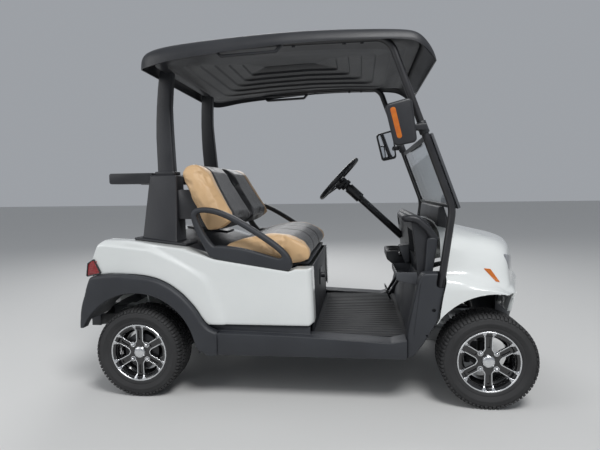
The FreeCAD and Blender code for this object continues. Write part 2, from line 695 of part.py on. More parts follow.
def axis_up():
    turn = math.radians(COLUMN_ANGLE)
    return V(-math.cos(turn), 0, math.sin(turn))


def wheel_centre():
    return V(FRONT_X - 707, DRIVER_Y, AXLE_Z + 855)


def steering_column():
    a = axis_up()
    top = wheel_centre() - a * 72
    low = top - a * 460
    shaft = rod(low, top, COLUMN_RADIUS)
    head = rod(top - a * 110, top - a * 10, COLUMN_RADIUS + 9)
    return joined([shaft, head]).cut(dashboard())


def steering_wheel():
    a = axis_up()
    centre = wheel_centre()
    rim = Part.makeTorus(STEERING_WHEEL_RADIUS, STEERING_WHEEL_TUBE, centre, a)
    hub = rod(centre - a * 71, centre - a * 22, 38)
    across = V(0, 1, 0)
    up = a.cross(across)
    parts = [rim, hub]
    for turn in (0, 180, 270):
        t = math.radians(turn)
        out = across * math.cos(t) + up * math.sin(t)
        parts.append(rod(centre - a * 40 + out * 20, centre + out * STEERING_WHEEL_RADIUS, 10))
    return joined(parts)


def knuckle():
    """Steering knuckle with its kingpin, spindle and arm, for the left wheel."""
    z = AXLE_Z
    pin = rod(V(FRONT_X, KINGPIN_Y, z + LOWER_ARM - 2), V(FRONT_X, KINGPIN_Y, z + UPPER_ARM + 16), KINGPIN_RADIUS)
    body = rod(V(FRONT_X, KINGPIN_Y, z - KNUCKLE_HALF), V(FRONT_X, KINGPIN_Y, z + KNUCKLE_HALF), KNUCKLE_RADIUS)
    spindle = rod(V(FRONT_X, KINGPIN_Y, z), V(FRONT_X, FRONT_TRACK / 2 + SPOKE_FACE - 4, z), AXLE_RADIUS)
    arm = box((FRONT_X - STEERING_ARM, FRONT_X), (KINGPIN_Y - 11, KINGPIN_Y + 11), (z - 36, z - 24))
    eye = rod(V(FRONT_X - STEERING_ARM, KINGPIN_Y, z - 36), V(FRONT_X - STEERING_ARM, KINGPIN_Y, z - 24), 15)
    return joined([pin, body, spindle, arm, eye])


def front_suspension():
    """Upper and lower arms from the frame rail to the kingpin, with a coil strut."""
    solids = []
    for low in (LOWER_ARM, UPPER_ARM):
        plan = [(FRONT_X - 75, RAIL_OUTER_Y), (FRONT_X + 75, RAIL_OUTER_Y), (FRONT_X + 20, KINGPIN_Y - 8)]
        plan += [(FRONT_X - 20, KINGPIN_Y - 8)]
        if low < 0:
            plan[0] = (FRONT_X - 75, RAIL_INNER_Y + 10)
            plan[1] = (FRONT_X + 75, RAIL_INNER_Y + 10)
        arm = prism(plan, "XY", AXLE_Z + low, AXLE_Z + low + ARM_THICK)
        eye = rod(V(FRONT_X, KINGPIN_Y, AXLE_Z + low), V(FRONT_X, KINGPIN_Y, AXLE_Z + low + ARM_THICK), 22)
        slot = prism([(FRONT_X - 40, RAIL_OUTER_Y + 18), (FRONT_X + 40, RAIL_OUTER_Y + 18), (FRONT_X, KINGPIN_Y - 50)],
                     "XY", AXLE_Z + low - 1, AXLE_Z + low + ARM_THICK + 1)
        solids.append(joined([arm, eye]).cut(slot))
    lower, upper = solids
    post = box((FRONT_X - 45, FRONT_X + 60), (RAIL_INNER_Y + 10, RAIL_OUTER_Y), (AXLE_Z + LOWER_ARM + ARM_THICK - 1, AXLE_Z + RAIL_BOTTOM))
    whole = joined([lower, post])
    bore = rod(V(FRONT_X, KINGPIN_Y, AXLE_Z - 90), V(FRONT_X, KINGPIN_Y, AXLE_Z + 90), KINGPIN_RADIUS + 0.1)
    return Part.makeCompound([whole.cut(bore), upper.cut(bore)])


def tie_rod():
    z = AXLE_Z - TIE_ROD_DROP
    x = FRONT_X - STEERING_ARM
    bar = rod(V(x, -KINGPIN_Y, z), V(x, KINGPIN_Y, z), TIE_ROD_RADIUS)
    ends = [rod(V(x, y, z - 7), V(x, y, z + 7), 14) for y in (-KINGPIN_Y, KINGPIN_Y)]
    return joined([bar] + ends)


def steering_box():
    z = AXLE_Z - TIE_ROD_DROP
    x = FRONT_X - STEERING_ARM
    block = box((x - 24, x + 24), (-60, 60), (z - 20, AXLE_Z + RAIL_BOTTOM + 5))
    return block.cut(rod(V(x, -80, z), V(x, 80, z), TIE_ROD_RADIUS + 0.1))


# Rear axle

def rear_axle():
    z = AXLE_Z
    end = REAR_TRACK / 2 - BEAD_HALF_WIDTH - 30
    tube = rod(V(REAR_X, -end, z), V(REAR_X, end, z), 32)
    gear = rod(V(REAR_X, 20, z), V(REAR_X, 130, z), 82)
    motor = rod(V(REAR_X + 112, -190, z - 8), V(REAR_X + 112, 100, z - 8), 72)
    parts = [tube, gear, motor]
    for side in (-1, 1):
        parts.append(rod(V(REAR_X, side * end, z), V(REAR_X, side * (REAR_TRACK / 2 + HUB_BACK - SEAM), z), 88))
        parts.append(rod(V(REAR_X, side * end, z), V(REAR_X, side * (REAR_TRACK / 2 + SPOKE_FACE - 4), z), AXLE_RADIUS))
        spring = box((REAR_X - 230, REAR_X + 280), sorted((side * 250, side * 300)), (z + 32, z + 56))
        seat = box((REAR_X - 40, REAR_X + 40), sorted((side * 250, side * 300)), (z, z + 34))
        parts += [spring, seat]
        for x, top in ((REAR_X - 215, RAIL_KICK_TOP - 8), (REAR_X + 265, RAIL_TOP + 16)):
            parts.append(box((x - 15, x + 15), sorted((side * RAIL_OUTER_Y, side * 300)), (z + 40, z + top)))
    return joined(parts)


# Wheels, drawn with the outer face towards +Y and then moved to their places

def turned(points):
    """Ring from (radius, place across) points, turned about the Y axis."""
    outline = wire([(r, w) + tuple(rest) for r, w, *rest in points], "XY")
    return Part.Face(outline).revolve(V(0, 0, 0), V(0, 1, 0), 360)


def rim():
    r = RIM_RADIUS
    b = BEAD_HALF_WIDTH
    lip = r + RIM_FLANGE
    well = r - 18
    wall = RIM_WALL
    barrel = [(r, b), (lip, b), (lip, b + wall), (r - wall, b + wall), (r - wall, 40), (well - wall, 25)]
    barrel += [(well - wall, -25), (r - wall, -40), (r - wall, -b - wall), (lip, -b - wall), (lip, -b), (r, -b)]
    barrel += [(r, -40), (well, -25), (well, 25), (r, 40)]
    ring = turned(barrel)
    low = SPOKE_FACE - SPOKE_THICK
    disc = Part.makeCylinder(r - wall, SPOKE_THICK, V(0, low, 0), V(0, 1, 0))
    hub = Part.makeCylinder(HUB_RADIUS, SPOKE_FACE - SPOKE_THICK / 2 - HUB_BACK, V(0, HUB_BACK, 0), V(0, 1, 0))
    step = 360.0 / SPOKES
    reach = r - wall - 8
    half = math.radians(step / 2)
    # Window between two spokes, its point towards the hub
    tip = SPOKE_HALF_WIDTH / math.sin(half) + 12
    wide = reach * math.sin(half) - SPOKE_HALF_WIDTH
    edge = reach * math.cos(half)
    window = [(tip, 0, 6), (edge - 6, wide * 0.96, 10), (reach - 4, wide * 0.45, 4)]
    window += [(reach - 4, -wide * 0.45, 4), (edge - 6, -wide * 0.96, 10)]
    for i in range(SPOKES):
        cutter = prism(window, "XY", low - 1, SPOKE_FACE + 1)
        cutter.rotate(V(0, 0, 0), V(1, 0, 0), -90)
        cutter.rotate(V(0, 0, 0), V(0, 1, 0), i * step)
        disc = disc.cut(cutter)
    cap = Part.makeCylinder(CAP_RADIUS, 12, V(0, SPOKE_FACE, 0), V(0, 1, 0))
    wheel = joined([ring, disc, hub, cap])
    for i in range(LUG_NUTS):
        t = math.radians(45 + 360.0 * i / LUG_NUTS)
        seat = V(LUG_CIRCLE * math.cos(t), SPOKE_FACE - 9, LUG_CIRCLE * math.sin(t))
        wheel = wheel.cut(Part.makeCylinder(11, 20, seat, V(0, 1, 0)))
    bore = Part.makeCylinder(AXLE_RADIUS + 0.1, SPOKE_FACE + 2, V(0, 0, 0), V(0, 1, 0))
    return wheel.cut(bore)


def tyre():
    r = RIM_RADIUS + SEAM
    b = BEAD_HALF_WIDTH - SEAM
    w = TYRE_WIDTH / 2
    top = TYRE_RADIUS
    outer = [(r, b), (r + RIM_FLANGE, b), (r + 48, w, 22), (top - 26, w - 3, 14), (top, w - 18, 8)]
    outer += [(top, -w + 18, 8), (top - 26, -w + 3, 14), (r + 48, -w, 22), (r + RIM_FLANGE, -b), (r, -b)]
    t = TYRE_WALL
    inner_b = b - t - 4
    inner = [(r, inner_b), (r + RIM_FLANGE + 4, inner_b), (r + 48, w - t, 20), (top - 26, w - t - 3, 12)]
    inner += [(top - t - 5, w - 32), (top - t - 5, -w + 32), (top - 26, -w + t + 3, 12), (r + 48, -w + t, 20)]
    inner += [(r + RIM_FLANGE + 4, -inner_b), (r, -inner_b)]
    return turned(outer).cut(turned(inner))


# Seats

def seat_base():
    side = [(HINGE_X, HINGE_Z + 6), (HINGE_X + 14, HINGE_Z - 2), (752, 411), (790, 425), (838, 425)]
    side += [(838, 437), (786, 437), (750, 424), (HINGE_X + 16, HINGE_Z + 10), (HINGE_X, HINGE_Z + 10)]
    plate = prism(rear(side), "XZ", -CABIN_HALF_WIDTH + 8, CABIN_HALF_WIDTH - 8)
    parts = []
    for y in (-HINGE_Y, HINGE_Y):
        gap = box((REAR_X + HINGE_X - 40, REAR_X + HINGE_X + 17), (y - 36, y + 36), (AXLE_Z + 400, AXLE_Z + 600))
        plate = plate.cut(gap)
        at = V(REAR_X + HINGE_X, y - 16, AXLE_Z + HINGE_Z)
        parts.append(rod(at, at + V(0, 32, 0), HINGE_RADIUS + 4))
        tab = prism(rear([(HINGE_X, HINGE_Z + 2), (HINGE_X, HINGE_Z + 9), (HINGE_X + 24, HINGE_Z + 8), (HINGE_X + 24, HINGE_Z - 2)]),
                    "XZ", y - 16, y + 16)
        parts.append(tab)
    whole = joined([plate] + parts)
    for y in (-HINGE_Y, HINGE_Y):
        start = V(REAR_X + HINGE_X, y - 20, AXLE_Z + HINGE_Z)
        whole = whole.cut(rod(start, start + V(0, 40, 0), HINGE_RADIUS + 0.1))
    return whole


def seat_cushion():
    side = [(388, 500, 8), (420, 514, 20), (508, 545, 60), (650, 572, 120), (769, 562, 60), (852, 516, 40)]
    side += [(866, 466, 20), (848, 437.5), (786, 437.5), (750, 424.5), (HINGE_X + 16, HINGE_Z + 10.5)]
    side += [(HINGE_X + 6, HINGE_Z + 12)]
    return prism(rear(side), "XZ", -496, 496)


def backrest():
    side = [(195, 886, 20), (217, 930, 30), (268, 943, 30), (308, 928, 30), (365, 820), (432, 708), (480, 640, 20)]
    side += [(409, 596, 20), (333, 581, 20), (290, 675), (242, 774)]
    return prism(rear(side), "XZ", 8, 496)


def backrest_frame():
    """Brackets from the towers and a cross bar behind the two back cushions."""
    arm = prism(rear([(140, 650), (140, 800), (240, 800), (320, 650)]), "XZ", 305, 420)
    bar = prism(rear([(150, 700), (150, 745), (280, 745), (300, 700)]), "XZ", -310, 310)
    whole = joined([arm, mirrored(arm), bar])
    return whole.cut(Part.makeCompound([backrest(), mirrored(backrest())])).cut(Part.makeCompound([tower(), mirrored(tower())]))


def armrest():
    side = [(277, 676, 20), (299, 712, 25), (349, 716, 60), (423, 701), (503, 669), (584, 620), (663, 552)]
    side += [(726, 488), (769, 445, 20), (752, 404), (387, 462), (347, 505, 30), (300, 603, 40)]
    outer = prism(rear(side), "XZ", 504, 546)
    hole = Part.Face(wire(rear(side), "XZ", 500)).makeOffset2D(-38)
    return outer.cut(hole.extrude(V(0, 60, 0)))


def pedals():
    solids = []
    for y, width in ((170, 90), (300, 60)):
        mount = riser_x(250)
        arm = front([(mount, 262), (mount - 34, 250), (mount - 92, 148), (mount - 80, 142), (mount - 24, 232), (mount - 4, 232)])
        pad = front([(mount - 110, 178), (mount - 84, 122), (mount - 76, 126), (mount - 102, 182)])
        parts = [prism(arm, "XZ", y - 10, y + 10), prism(pad, "XZ", y - width / 2, y + width / 2)]
        solids.append(joined(parts).cut(floor_pan()))
    return Part.makeCompound(solids)


def selector():
    """Direction switch on the front of the seat pod."""
    x = REAR_X + POD_FRONT - 4
    plate = box((x, x + 5), (-70, 70), (AXLE_Z + 250, AXLE_Z + 340))
    knob = rod(V(x + 5, 0, AXLE_Z + 295), V(x + 28, 0, AXLE_Z + 295), 16)
    return joined([plate, knob])


def at_wheel(shape, x, y):
    """Wheel piece moved to its axle end, turned over for the right side."""
    moved = shape.copy() if y > 0 else mirrored(shape)
    moved.translate(V(x, y, AXLE_Z))
    return moved


def white_cowl():
    lamps = [marker(), mirrored(marker()), headlight(), mirrored(headlight())]
    return cowl().cut(Part.makeCompound(lamps))


def cowl_lens(block):
    """Part of a lamp's block that lies in the cowl's wall, on both sides."""
    return pair(block.common(cowl_envelope()).cut(cowl_block(PANEL)))


NODES = {
    "frame_rails": frame_rails,
    "cross_members": cross_members,
    "floor_pan": floor_pan,
    "floor_mat": floor_mat,
    "sills": lambda: pair(sill()),
    "rear_quarter_left": rear_quarter,
    "rear_quarter_right": lambda: mirrored(rear_quarter()),
    "rear_flares": lambda: pair(rear_flare()),
    "bag_well": bag_well,
    "rear_bumper": rear_bumper,
    "rear_deck": rear_deck,
    "bulkhead": bulkhead,
    "seat_pod_front": seat_pod_front,
    "battery_pack": battery_pack,
    "towers": lambda: pair(tower()),
    "bag_rack": lambda: bag_rack().cut(pair(tower())),
    "rear_struts": lambda: pair(rear_strut()),
    "front_tubes": lambda: pair(front_tube()),
    "roof": roof,
    "cowl": white_cowl,
    "nose_lower": nose_lower,
    "side_covers": lambda: pair(side_cover()),
    "dashboard": dashboard,
    "hand_hold": hand_hold,
    "windshield_lower": windshield_lower,
    "windshield_upper": windshield_upper,
    "windshield_trim": windshield_trim,
    "mirrors": lambda: pair(mirror_head()),
    "headlights": lambda: cowl_lens(headlight()),
    "markers": lambda: cowl_lens(marker()),
    "tail_lights": lambda: pair(tail_light()),
    "steering_column": steering_column,
    "steering_wheel": steering_wheel,
    "steering_box": steering_box,
    "tie_rod": tie_rod,
    "front_suspension": lambda: Part.makeCompound([front_suspension(), mirrored(front_suspension())]),
    "knuckle_left": knuckle,
    "knuckle_right": lambda: mirrored(knuckle()),
    "rear_axle": rear_axle,
    "seat_base": seat_base,
    "seat_cushion": seat_cushion,
    "backrests": lambda: pair(backrest()),
    "backrest_frame": backrest_frame,
    "armrests": lambda: pair(armrest()),
    "pedals": pedals,
    "selector": selector,
}

# Wheel places: name, axle, half of the track with its side
WHEELS = [
    ("front_left", FRONT_X, FRONT_TRACK / 2),
    ("front_right", FRONT_X, -FRONT_TRACK / 2),
    ("rear_left", REAR_X, REAR_TRACK / 2),
    ("rear_right", REAR_X, -REAR_TRACK / 2),
]


def main():
    os.makedirs("parts", exist_ok=True)
    for name, make in NODES.items():
        make().exportStep("parts/" + name + ".step")
    for name, x, y in WHEELS:
        at_wheel(rim(), x, y).exportStep("parts/rim_" + name + ".step")
        at_wheel(tyre(), x, y).exportStep("parts/tyre_" + name + ".step")


main()
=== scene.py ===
import json
import math
import bpy
from mathutils import Matrix, Vector

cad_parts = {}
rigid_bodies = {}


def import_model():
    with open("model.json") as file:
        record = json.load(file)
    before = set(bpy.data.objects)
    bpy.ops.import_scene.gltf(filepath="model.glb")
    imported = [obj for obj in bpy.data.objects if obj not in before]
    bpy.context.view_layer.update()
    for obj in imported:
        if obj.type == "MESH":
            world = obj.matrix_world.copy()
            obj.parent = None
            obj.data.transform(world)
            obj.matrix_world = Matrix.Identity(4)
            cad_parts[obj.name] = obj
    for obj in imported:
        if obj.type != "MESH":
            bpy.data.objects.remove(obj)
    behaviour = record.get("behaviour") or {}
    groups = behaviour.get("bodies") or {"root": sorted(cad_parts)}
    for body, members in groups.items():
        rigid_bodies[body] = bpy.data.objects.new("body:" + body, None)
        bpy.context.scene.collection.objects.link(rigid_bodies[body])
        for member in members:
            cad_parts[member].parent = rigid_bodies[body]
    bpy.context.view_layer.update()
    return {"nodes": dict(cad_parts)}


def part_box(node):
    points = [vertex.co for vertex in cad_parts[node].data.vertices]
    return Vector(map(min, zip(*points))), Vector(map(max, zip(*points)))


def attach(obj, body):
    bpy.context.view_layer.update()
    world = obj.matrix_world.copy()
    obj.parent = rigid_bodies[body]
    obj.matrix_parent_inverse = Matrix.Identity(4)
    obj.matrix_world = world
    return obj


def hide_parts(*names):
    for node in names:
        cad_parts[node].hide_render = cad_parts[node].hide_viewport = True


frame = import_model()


# Places that the frame gives, in metres

def middle(node):
    low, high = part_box(node)
    return (Vector(low) + Vector(high)) / 2


FRONT_AXLE = middle("rim_front_left")
REAR_AXLE = middle("rim_rear_left")
AXLE_Z = FRONT_AXLE.z
TYRE_LOW, TYRE_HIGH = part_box("tyre_front_left")
TYRE_RADIUS = (TYRE_HIGH[0] - TYRE_LOW[0]) / 2
TYRE_HALF = (TYRE_HIGH[1] - TYRE_LOW[1]) / 2
ROOF_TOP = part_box("roof")[1][2]
ROOF_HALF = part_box("roof")[1][1]
BODY_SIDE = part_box("rear_quarter_left")[1][1]
FLARE_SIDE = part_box("rear_flares")[1][1]
TUBE_RADIUS = 0.017
TUBE_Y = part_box("front_tubes")[1][1] - TUBE_RADIUS
TUBE_RUN = ROOF_TOP - 0.069        # height of the tubes' level run under the canopy
TUBE_BEND = Vector((-0.164, 0.699))        # from the front axle, where the tubes start to lean back
TUBE_LEAN_X = -0.444        # from the front axle, where they reach the canopy
ARCH_RADIUS = TYRE_RADIUS + 0.081
FRONT_ARCH = TYRE_RADIUS + 0.100


def rear(points):
    """Points (x, z) counted from the rear axle, in the cart's own frame."""
    return [(REAR_AXLE.x + p[0], AXLE_Z + p[1]) + tuple(p[2:]) for p in points]


def front(points):
    """Points (x, z) counted from the front axle, in the cart's own frame."""
    return [(FRONT_AXLE.x + p[0], AXLE_Z + p[1]) + tuple(p[2:]) for p in points]


def front_point(x, y, z):
    """Place counted from the middle of the front axle."""
    return Vector((FRONT_AXLE.x + x, y, AXLE_Z + z))


# Modelling steps

def clear():
    if bpy.context.mode != "OBJECT":
        bpy.ops.object.mode_set(mode="OBJECT")
    bpy.ops.object.select_all(action="DESELECT")


def use(piece):
    clear()
    piece.select_set(True)
    bpy.context.view_layer.objects.active = piece


def edit(piece, kind="EDGE", everything=True):
    use(piece)
    bpy.ops.object.mode_set(mode="EDIT")
    bpy.ops.mesh.select_mode(type=kind)
    bpy.ops.mesh.select_all(action="SELECT" if everything else "DESELECT")


def applied(piece, kind, **values):
    """Adds a modifier with its values and applies it."""
    use(piece)
    modifier = piece.modifiers.new(kind.title(), kind)
    for key, value in values.items():
        setattr(modifier, key, value)
    bpy.ops.object.modifier_apply(modifier=modifier.name)
    return piece


def refined(piece, levels=2):
    return applied(piece, "SUBSURF", levels=levels, render_levels=levels)


def both_sides(piece):
    return applied(piece, "MIRROR", use_axis=(False, True, False), merge_threshold=0.0002)


def carved(piece, cutter, how="DIFFERENCE"):
    """Cuts, keeps or adds what the cutter holds, and removes the cutter."""
    applied(piece, "BOOLEAN", operation=how, solver="EXACT", object=cutter)
    bpy.data.objects.remove(cutter)
    return piece


def joined(pieces):
    use(pieces[0])
    for piece in pieces:
        piece.select_set(True)
    bpy.ops.object.join()
    return pieces[0]


def softened(piece, width=0.003, segments=2, angle=38):
    """Rounds every edge that is sharper than an angle."""
    edit(piece, "EDGE", False)
    bpy.ops.mesh.edges_select_sharp(sharpness=math.radians(angle))
    bpy.ops.mesh.bevel(offset=width, segments=segments, profile=0.5, clamp_overlap=True)
    clear()
    return piece


def welded(piece, reach=0.00005):
    edit(piece, "VERT")
    bpy.ops.mesh.remove_doubles(threshold=reach)
    clear()
    return piece


def outwards(piece):
    """Turns a closed piece's faces outwards."""
    edit(piece, "FACE")
    bpy.ops.mesh.normals_make_consistent(inside=False)
    clear()
    return piece


def facing(piece, axis):
    """Turns an open sheet over if its furthest face along an axis looks back."""
    furthest = max(piece.data.polygons, key=lambda face: face.center[axis] * abs(face.normal[axis]))
    if furthest.normal[axis] < 0:
        edit(piece, "FACE")
        bpy.ops.mesh.flip_normals()
        clear()
    return piece


def without(piece, test):
    """Deletes the faces whose middle passes a test."""
    edit(piece, "FACE", False)
    bpy.ops.object.mode_set(mode="OBJECT")
    for face in piece.data.polygons:
        face.select = bool(test(face.center))
    bpy.ops.object.mode_set(mode="EDIT")
    bpy.ops.mesh.delete(type="FACE")
    clear()
    return piece


def painted(piece, *finishes):
    """Gives a piece its finishes in place of those that it has."""
    piece.data.materials.clear()
    for one in finishes:
        piece.data.materials.append(one)
    return piece


def settled(piece, matrix):
    """Moves a piece and puts the place into its mesh."""
    piece.matrix_world = matrix
    use(piece)
    bpy.ops.object.transform_apply(location=True, rotation=True, scale=True)
    return piece


def copied(piece, matrix=None):
    use(piece)
    bpy.ops.object.duplicate()
    copy = bpy.context.object
    return settled(copy, matrix) if matrix else copy


def rounded(points, closed=True, steps=5):
    """Flat line with arcs in its corners, from (u, v) or (u, v, radius of the corner)."""
    return arcs([(Vector(p[:2]), p[2] if len(p) > 2 else 0.0) for p in points], closed, steps)


def arcs(corners, closed, steps):
    """Points along a line of (corner, radius) pairs."""
    result = []
    count = len(corners)
    for i, (here, radius) in enumerate(corners):
        if radius <= 0 or (not closed and i in (0, count - 1)):
            result.append(here.copy())
            continue
        a = (corners[i - 1][0] - here).normalized()
        b = (corners[(i + 1) % count][0] - here).normalized()
        half = a.angle(b) / 2
        centre = here + (a + b).normalized() * (radius / math.sin(half))
        start = here + a * (radius / math.tan(half)) - centre
        end = here + b * (radius / math.tan(half)) - centre
        result += [centre + start.slerp(end, k / steps) * radius for k in range(steps + 1)]
    return result


def spot(plane, u, v, at):
    if plane == "XZ":
        return Vector((u, at, v))
    return Vector((u, v, at)) if plane == "XY" else Vector((at, u, v))


def moulding(points, plane, low, high, edge=0.003, segments=2, band=0.0, steps=5):
    """Outline drawn out between two places with softened rims, or a band inside the outline."""
    spots = rounded(points, steps=steps)
    clear()
    bpy.ops.mesh.primitive_circle_add(vertices=len(spots), fill_type="NGON")
    piece = bpy.context.object
    for vertex, place in zip(piece.data.vertices, spots):
        vertex.co = spot(plane, place.x, place.y, low)
    edit(piece, "FACE")
    if band:
        bpy.ops.mesh.inset(thickness=band)
        bpy.ops.mesh.delete(type="FACE")
        bpy.ops.mesh.select_all(action="SELECT")
    bpy.ops.mesh.extrude_region_move(TRANSFORM_OT_translate={"value": spot(plane, 0, 0, high - low)})
    bpy.ops.mesh.select_all(action="SELECT")
    bpy.ops.mesh.normals_make_consistent(inside=False)
    clear()
    return softened(piece, edge, segments) if edge else piece


def front_bar(points, low, high, edge=0.0, segments=2):
    """Moulding across the cart, from an outline (x, z) counted from the front axle."""
    return moulding(front(points), "XZ", low, high, edge, segments)


def turned(profile, steps=96):
    """Ring from (radius, place across) points, spun about the Y axis."""
    clear()
    bpy.ops.mesh.primitive_circle_add(vertices=len(profile), fill_type="NOTHING")
    piece = bpy.context.object
    for vertex, place in zip(piece.data.vertices, profile):
        vertex.co = Vector((place[0], place[1], 0))
    edit(piece, "VERT")
    bpy.ops.mesh.spin(steps=steps, angle=2 * math.pi, center=(0, 0, 0), axis=(0, 1, 0))
    clear()
    return outwards(welded(piece))


def skinned(rows):
    """Sheet through rows of points, with as many points in each row."""
    across = len(rows[0])
    clear()
    bpy.ops.mesh.primitive_grid_add(x_subdivisions=across - 1, y_subdivisions=len(rows) - 1)
    piece = bpy.context.object
    for i, vertex in enumerate(piece.data.vertices):
        vertex.co = Vector(rows[i // across][i % across])
    return piece


def filled(line, parts):
    """Line of points filled in smoothly, never swinging past a point."""
    steps = [[q - p for p, q in zip(a, b)] for a, b in zip(line, line[1:])]
    slopes = [[2 * p * q / (p + q) if p * q > 0 else 0.0 for p, q in zip(a, b)] for a, b in zip(steps, steps[1:])]
    slopes = steps[:1] + slopes + steps[-1:]
    result = []
    for k in range(len(line) - 1):
        for j in range(parts):
            t = j / parts
            shares = (2 * t ** 3 - 3 * t * t + 1, t ** 3 - 2 * t * t + t, 3 * t * t - 2 * t ** 3, t ** 3 - t * t)
            four = zip(line[k], slopes[k], line[k + 1], slopes[k + 1])
            result.append([sum(w * v for w, v in zip(shares, values)) for values in four])
    return result + [list(line[-1])]


def woven(rows, along, across):
    """Smooth sheet that goes through every point of its rows."""
    table = [filled(row, along) for row in rows]
    columns = [filled(column, across) for column in zip(*table)]
    return skinned(list(zip(*columns)))


def ribbon(first, second, low, high, rims, closed=False, steps=4):
    """Bar between two lines of (x, z) points, its rims rounded at low and high on each line."""
    rows = []
    for a, b in zip(first, second):
        a, b = Vector(a[:2]), Vector(b[:2])
        wide = (b - a).length
        out = (b - a) / wide
        row = []
        for k, (u, y) in enumerate(((0, low), (0, high), (wide, high), (wide, low))):
            r = min(rims[k], wide * 0.48)
            centre = (abs(u - r), y + r if y == low else y - r)
            for j in range(steps + 1):
                turn = math.radians(270 - 90 * (k + j / steps))
                place = a + out * (centre[0] + r * math.cos(turn))
                row.append((place.x, centre[1] + r * math.sin(turn), place.y))
        rows.append(row + row[:1])
    piece = outwards(welded(skinned(rows + rows[:1] if closed else rows)))
    if not closed:
        edit(piece, "EDGE")
        bpy.ops.mesh.fill_holes(sides=0)
    return outwards(welded(piece))


def level(line, x):
    """Height of a line of (x, z) points at a place."""
    for (x0, z0), (x1, z1) in zip(line, line[1:]):
        if x <= x1:
            return z0 + (z1 - z0) * max(0.0, x - x0) / (x1 - x0)
    return line[-1][1]


def eased(value):
    value = min(1.0, max(0.0, value))
    return value * value * (3 - 2 * value)


def tube(points, radius, sides=6, steps=8):
    """Round bar along a line of (x, y, z[, corner radius]) points."""
    line = arcs([(Vector(p[:3]), p[3] if len(p) > 3 else 0.0) for p in points], False, steps)
    clear()
    bpy.ops.curve.primitive_nurbs_path_add()
    piece = bpy.context.object
    piece.data.splines.clear()
    spline = piece.data.splines.new("POLY")
    spline.points.add(len(line) - 1)
    for target, place in zip(spline.points, line):
        target.co = (*place, 1)
    piece.data.bevel_depth = radius
    piece.data.bevel_resolution = sides
    piece.data.use_fill_caps = True
    use(piece)
    bpy.ops.object.convert(target="MESH")
    return outwards(welded(bpy.context.object))


def ring_of(piece, count):
    """Copies of a piece all round the Y axis, in one mesh."""
    bpy.ops.object.empty_add(rotation=(0, 2 * math.pi / count, 0))
    step = bpy.context.object
    applied(piece, "ARRAY", count=count, use_relative_offset=False, use_object_offset=True, offset_object=step)
    bpy.data.objects.remove(step)
    return piece


def rod(a, b, radius, edge=0.0015, sides=32):
    """Cylinder between two points with softened rims."""
    a, b = Vector(a), Vector(b)
    clear()
    bpy.ops.mesh.primitive_cylinder_add(vertices=sides, radius=radius, depth=(b - a).length)
    piece = bpy.context.object
    turn = (b - a).to_track_quat("Z", "Y").to_matrix().to_4x4()
    settled(piece, Matrix.Translation((a + b) / 2) @ turn)
    return softened(piece, edge, 2, 60) if edge else piece


def block(low, high, edge=0.003, segments=2):
    low, high = Vector(low), Vector(high)
    clear()
    bpy.ops.mesh.primitive_cube_add(size=1.0)
    piece = bpy.context.object
    settled(piece, Matrix.Translation((low + high) / 2) @ Matrix.Diagonal((*(high - low), 1)))
    return softened(piece, edge, segments) if edge else piece


# Finishes

def ramp(tree, source, low, high):
    node = tree.nodes.new("ShaderNodeValToRGB")
    node.color_ramp.elements[0].position = 0.3
    node.color_ramp.elements[1].position = 0.7
    node.color_ramp.elements[0].color = low
    node.color_ramp.elements[1].color = high
    tree.links.new(source, node.inputs["Fac"])
    return node.outputs["Color"]


def relief(tree, place, kind, scale, depth):
    """Height of one layer of relief and the bump node that it drives."""
    if kind == "cells":
        node = tree.nodes.new("ShaderNodeTexVoronoi")
        height = node.outputs["Distance"]
    elif kind.startswith("lines"):
        node = tree.nodes.new("ShaderNodeTexWave")
        node.bands_direction = kind[-1]
        height = node.outputs["Fac"]
    elif kind == "rings":
        node = tree.nodes.new("ShaderNodeTexWave")
        node.wave_type = "RINGS"
        node.rings_direction = "Y"
        height = node.outputs["Fac"]
    else:
        node = tree.nodes.new("ShaderNodeTexNoise")
        node.inputs["Detail"].default_value = 3.0
        height = node.outputs["Fac"]
    node.inputs["Scale"].default_value = scale
    tree.links.new(place, node.inputs["Vector"])
    bump = tree.nodes.new("ShaderNodeBump")
    bump.inputs["Distance"].default_value = depth
    bump.inputs["Strength"].default_value = 1.0
    tree.links.new(height, bump.inputs["Height"])
    return bump


def finish(name, low, high, rough, broad=6.0, layers=(), **sockets):
    """Material of two shades over a broad noise, a range of roughness and layers of relief."""
    made = bpy.data.materials.new(name)
    made.use_nodes = True
    tree = made.node_tree
    shader = tree.nodes["Principled BSDF"]
    place = tree.nodes.new("ShaderNodeTexCoord").outputs["Object"]
    noise = tree.nodes.new("ShaderNodeTexNoise")
    noise.inputs["Scale"].default_value = broad
    noise.inputs["Detail"].default_value = 4.0
    tree.links.new(place, noise.inputs["Vector"])
    greys = [(value, value, value, 1) for value in rough]
    tree.links.new(ramp(tree, noise.outputs["Fac"], (*low, 1), (*high, 1)), shader.inputs["Base Color"])
    tree.links.new(ramp(tree, noise.outputs["Fac"], *greys), shader.inputs["Roughness"])
    before = None
    for kind, scale, depth in layers:
        bump = relief(tree, place, kind, scale, depth)
        if before:
            tree.links.new(before, bump.inputs["Normal"])
        before = bump.outputs["Normal"]
    if before:
        tree.links.new(before, shader.inputs["Normal"])
    for key, value in sockets.items():
        shader.inputs[key.replace("_", " ").title().replace("Ior", "IOR")].default_value = value
    return made


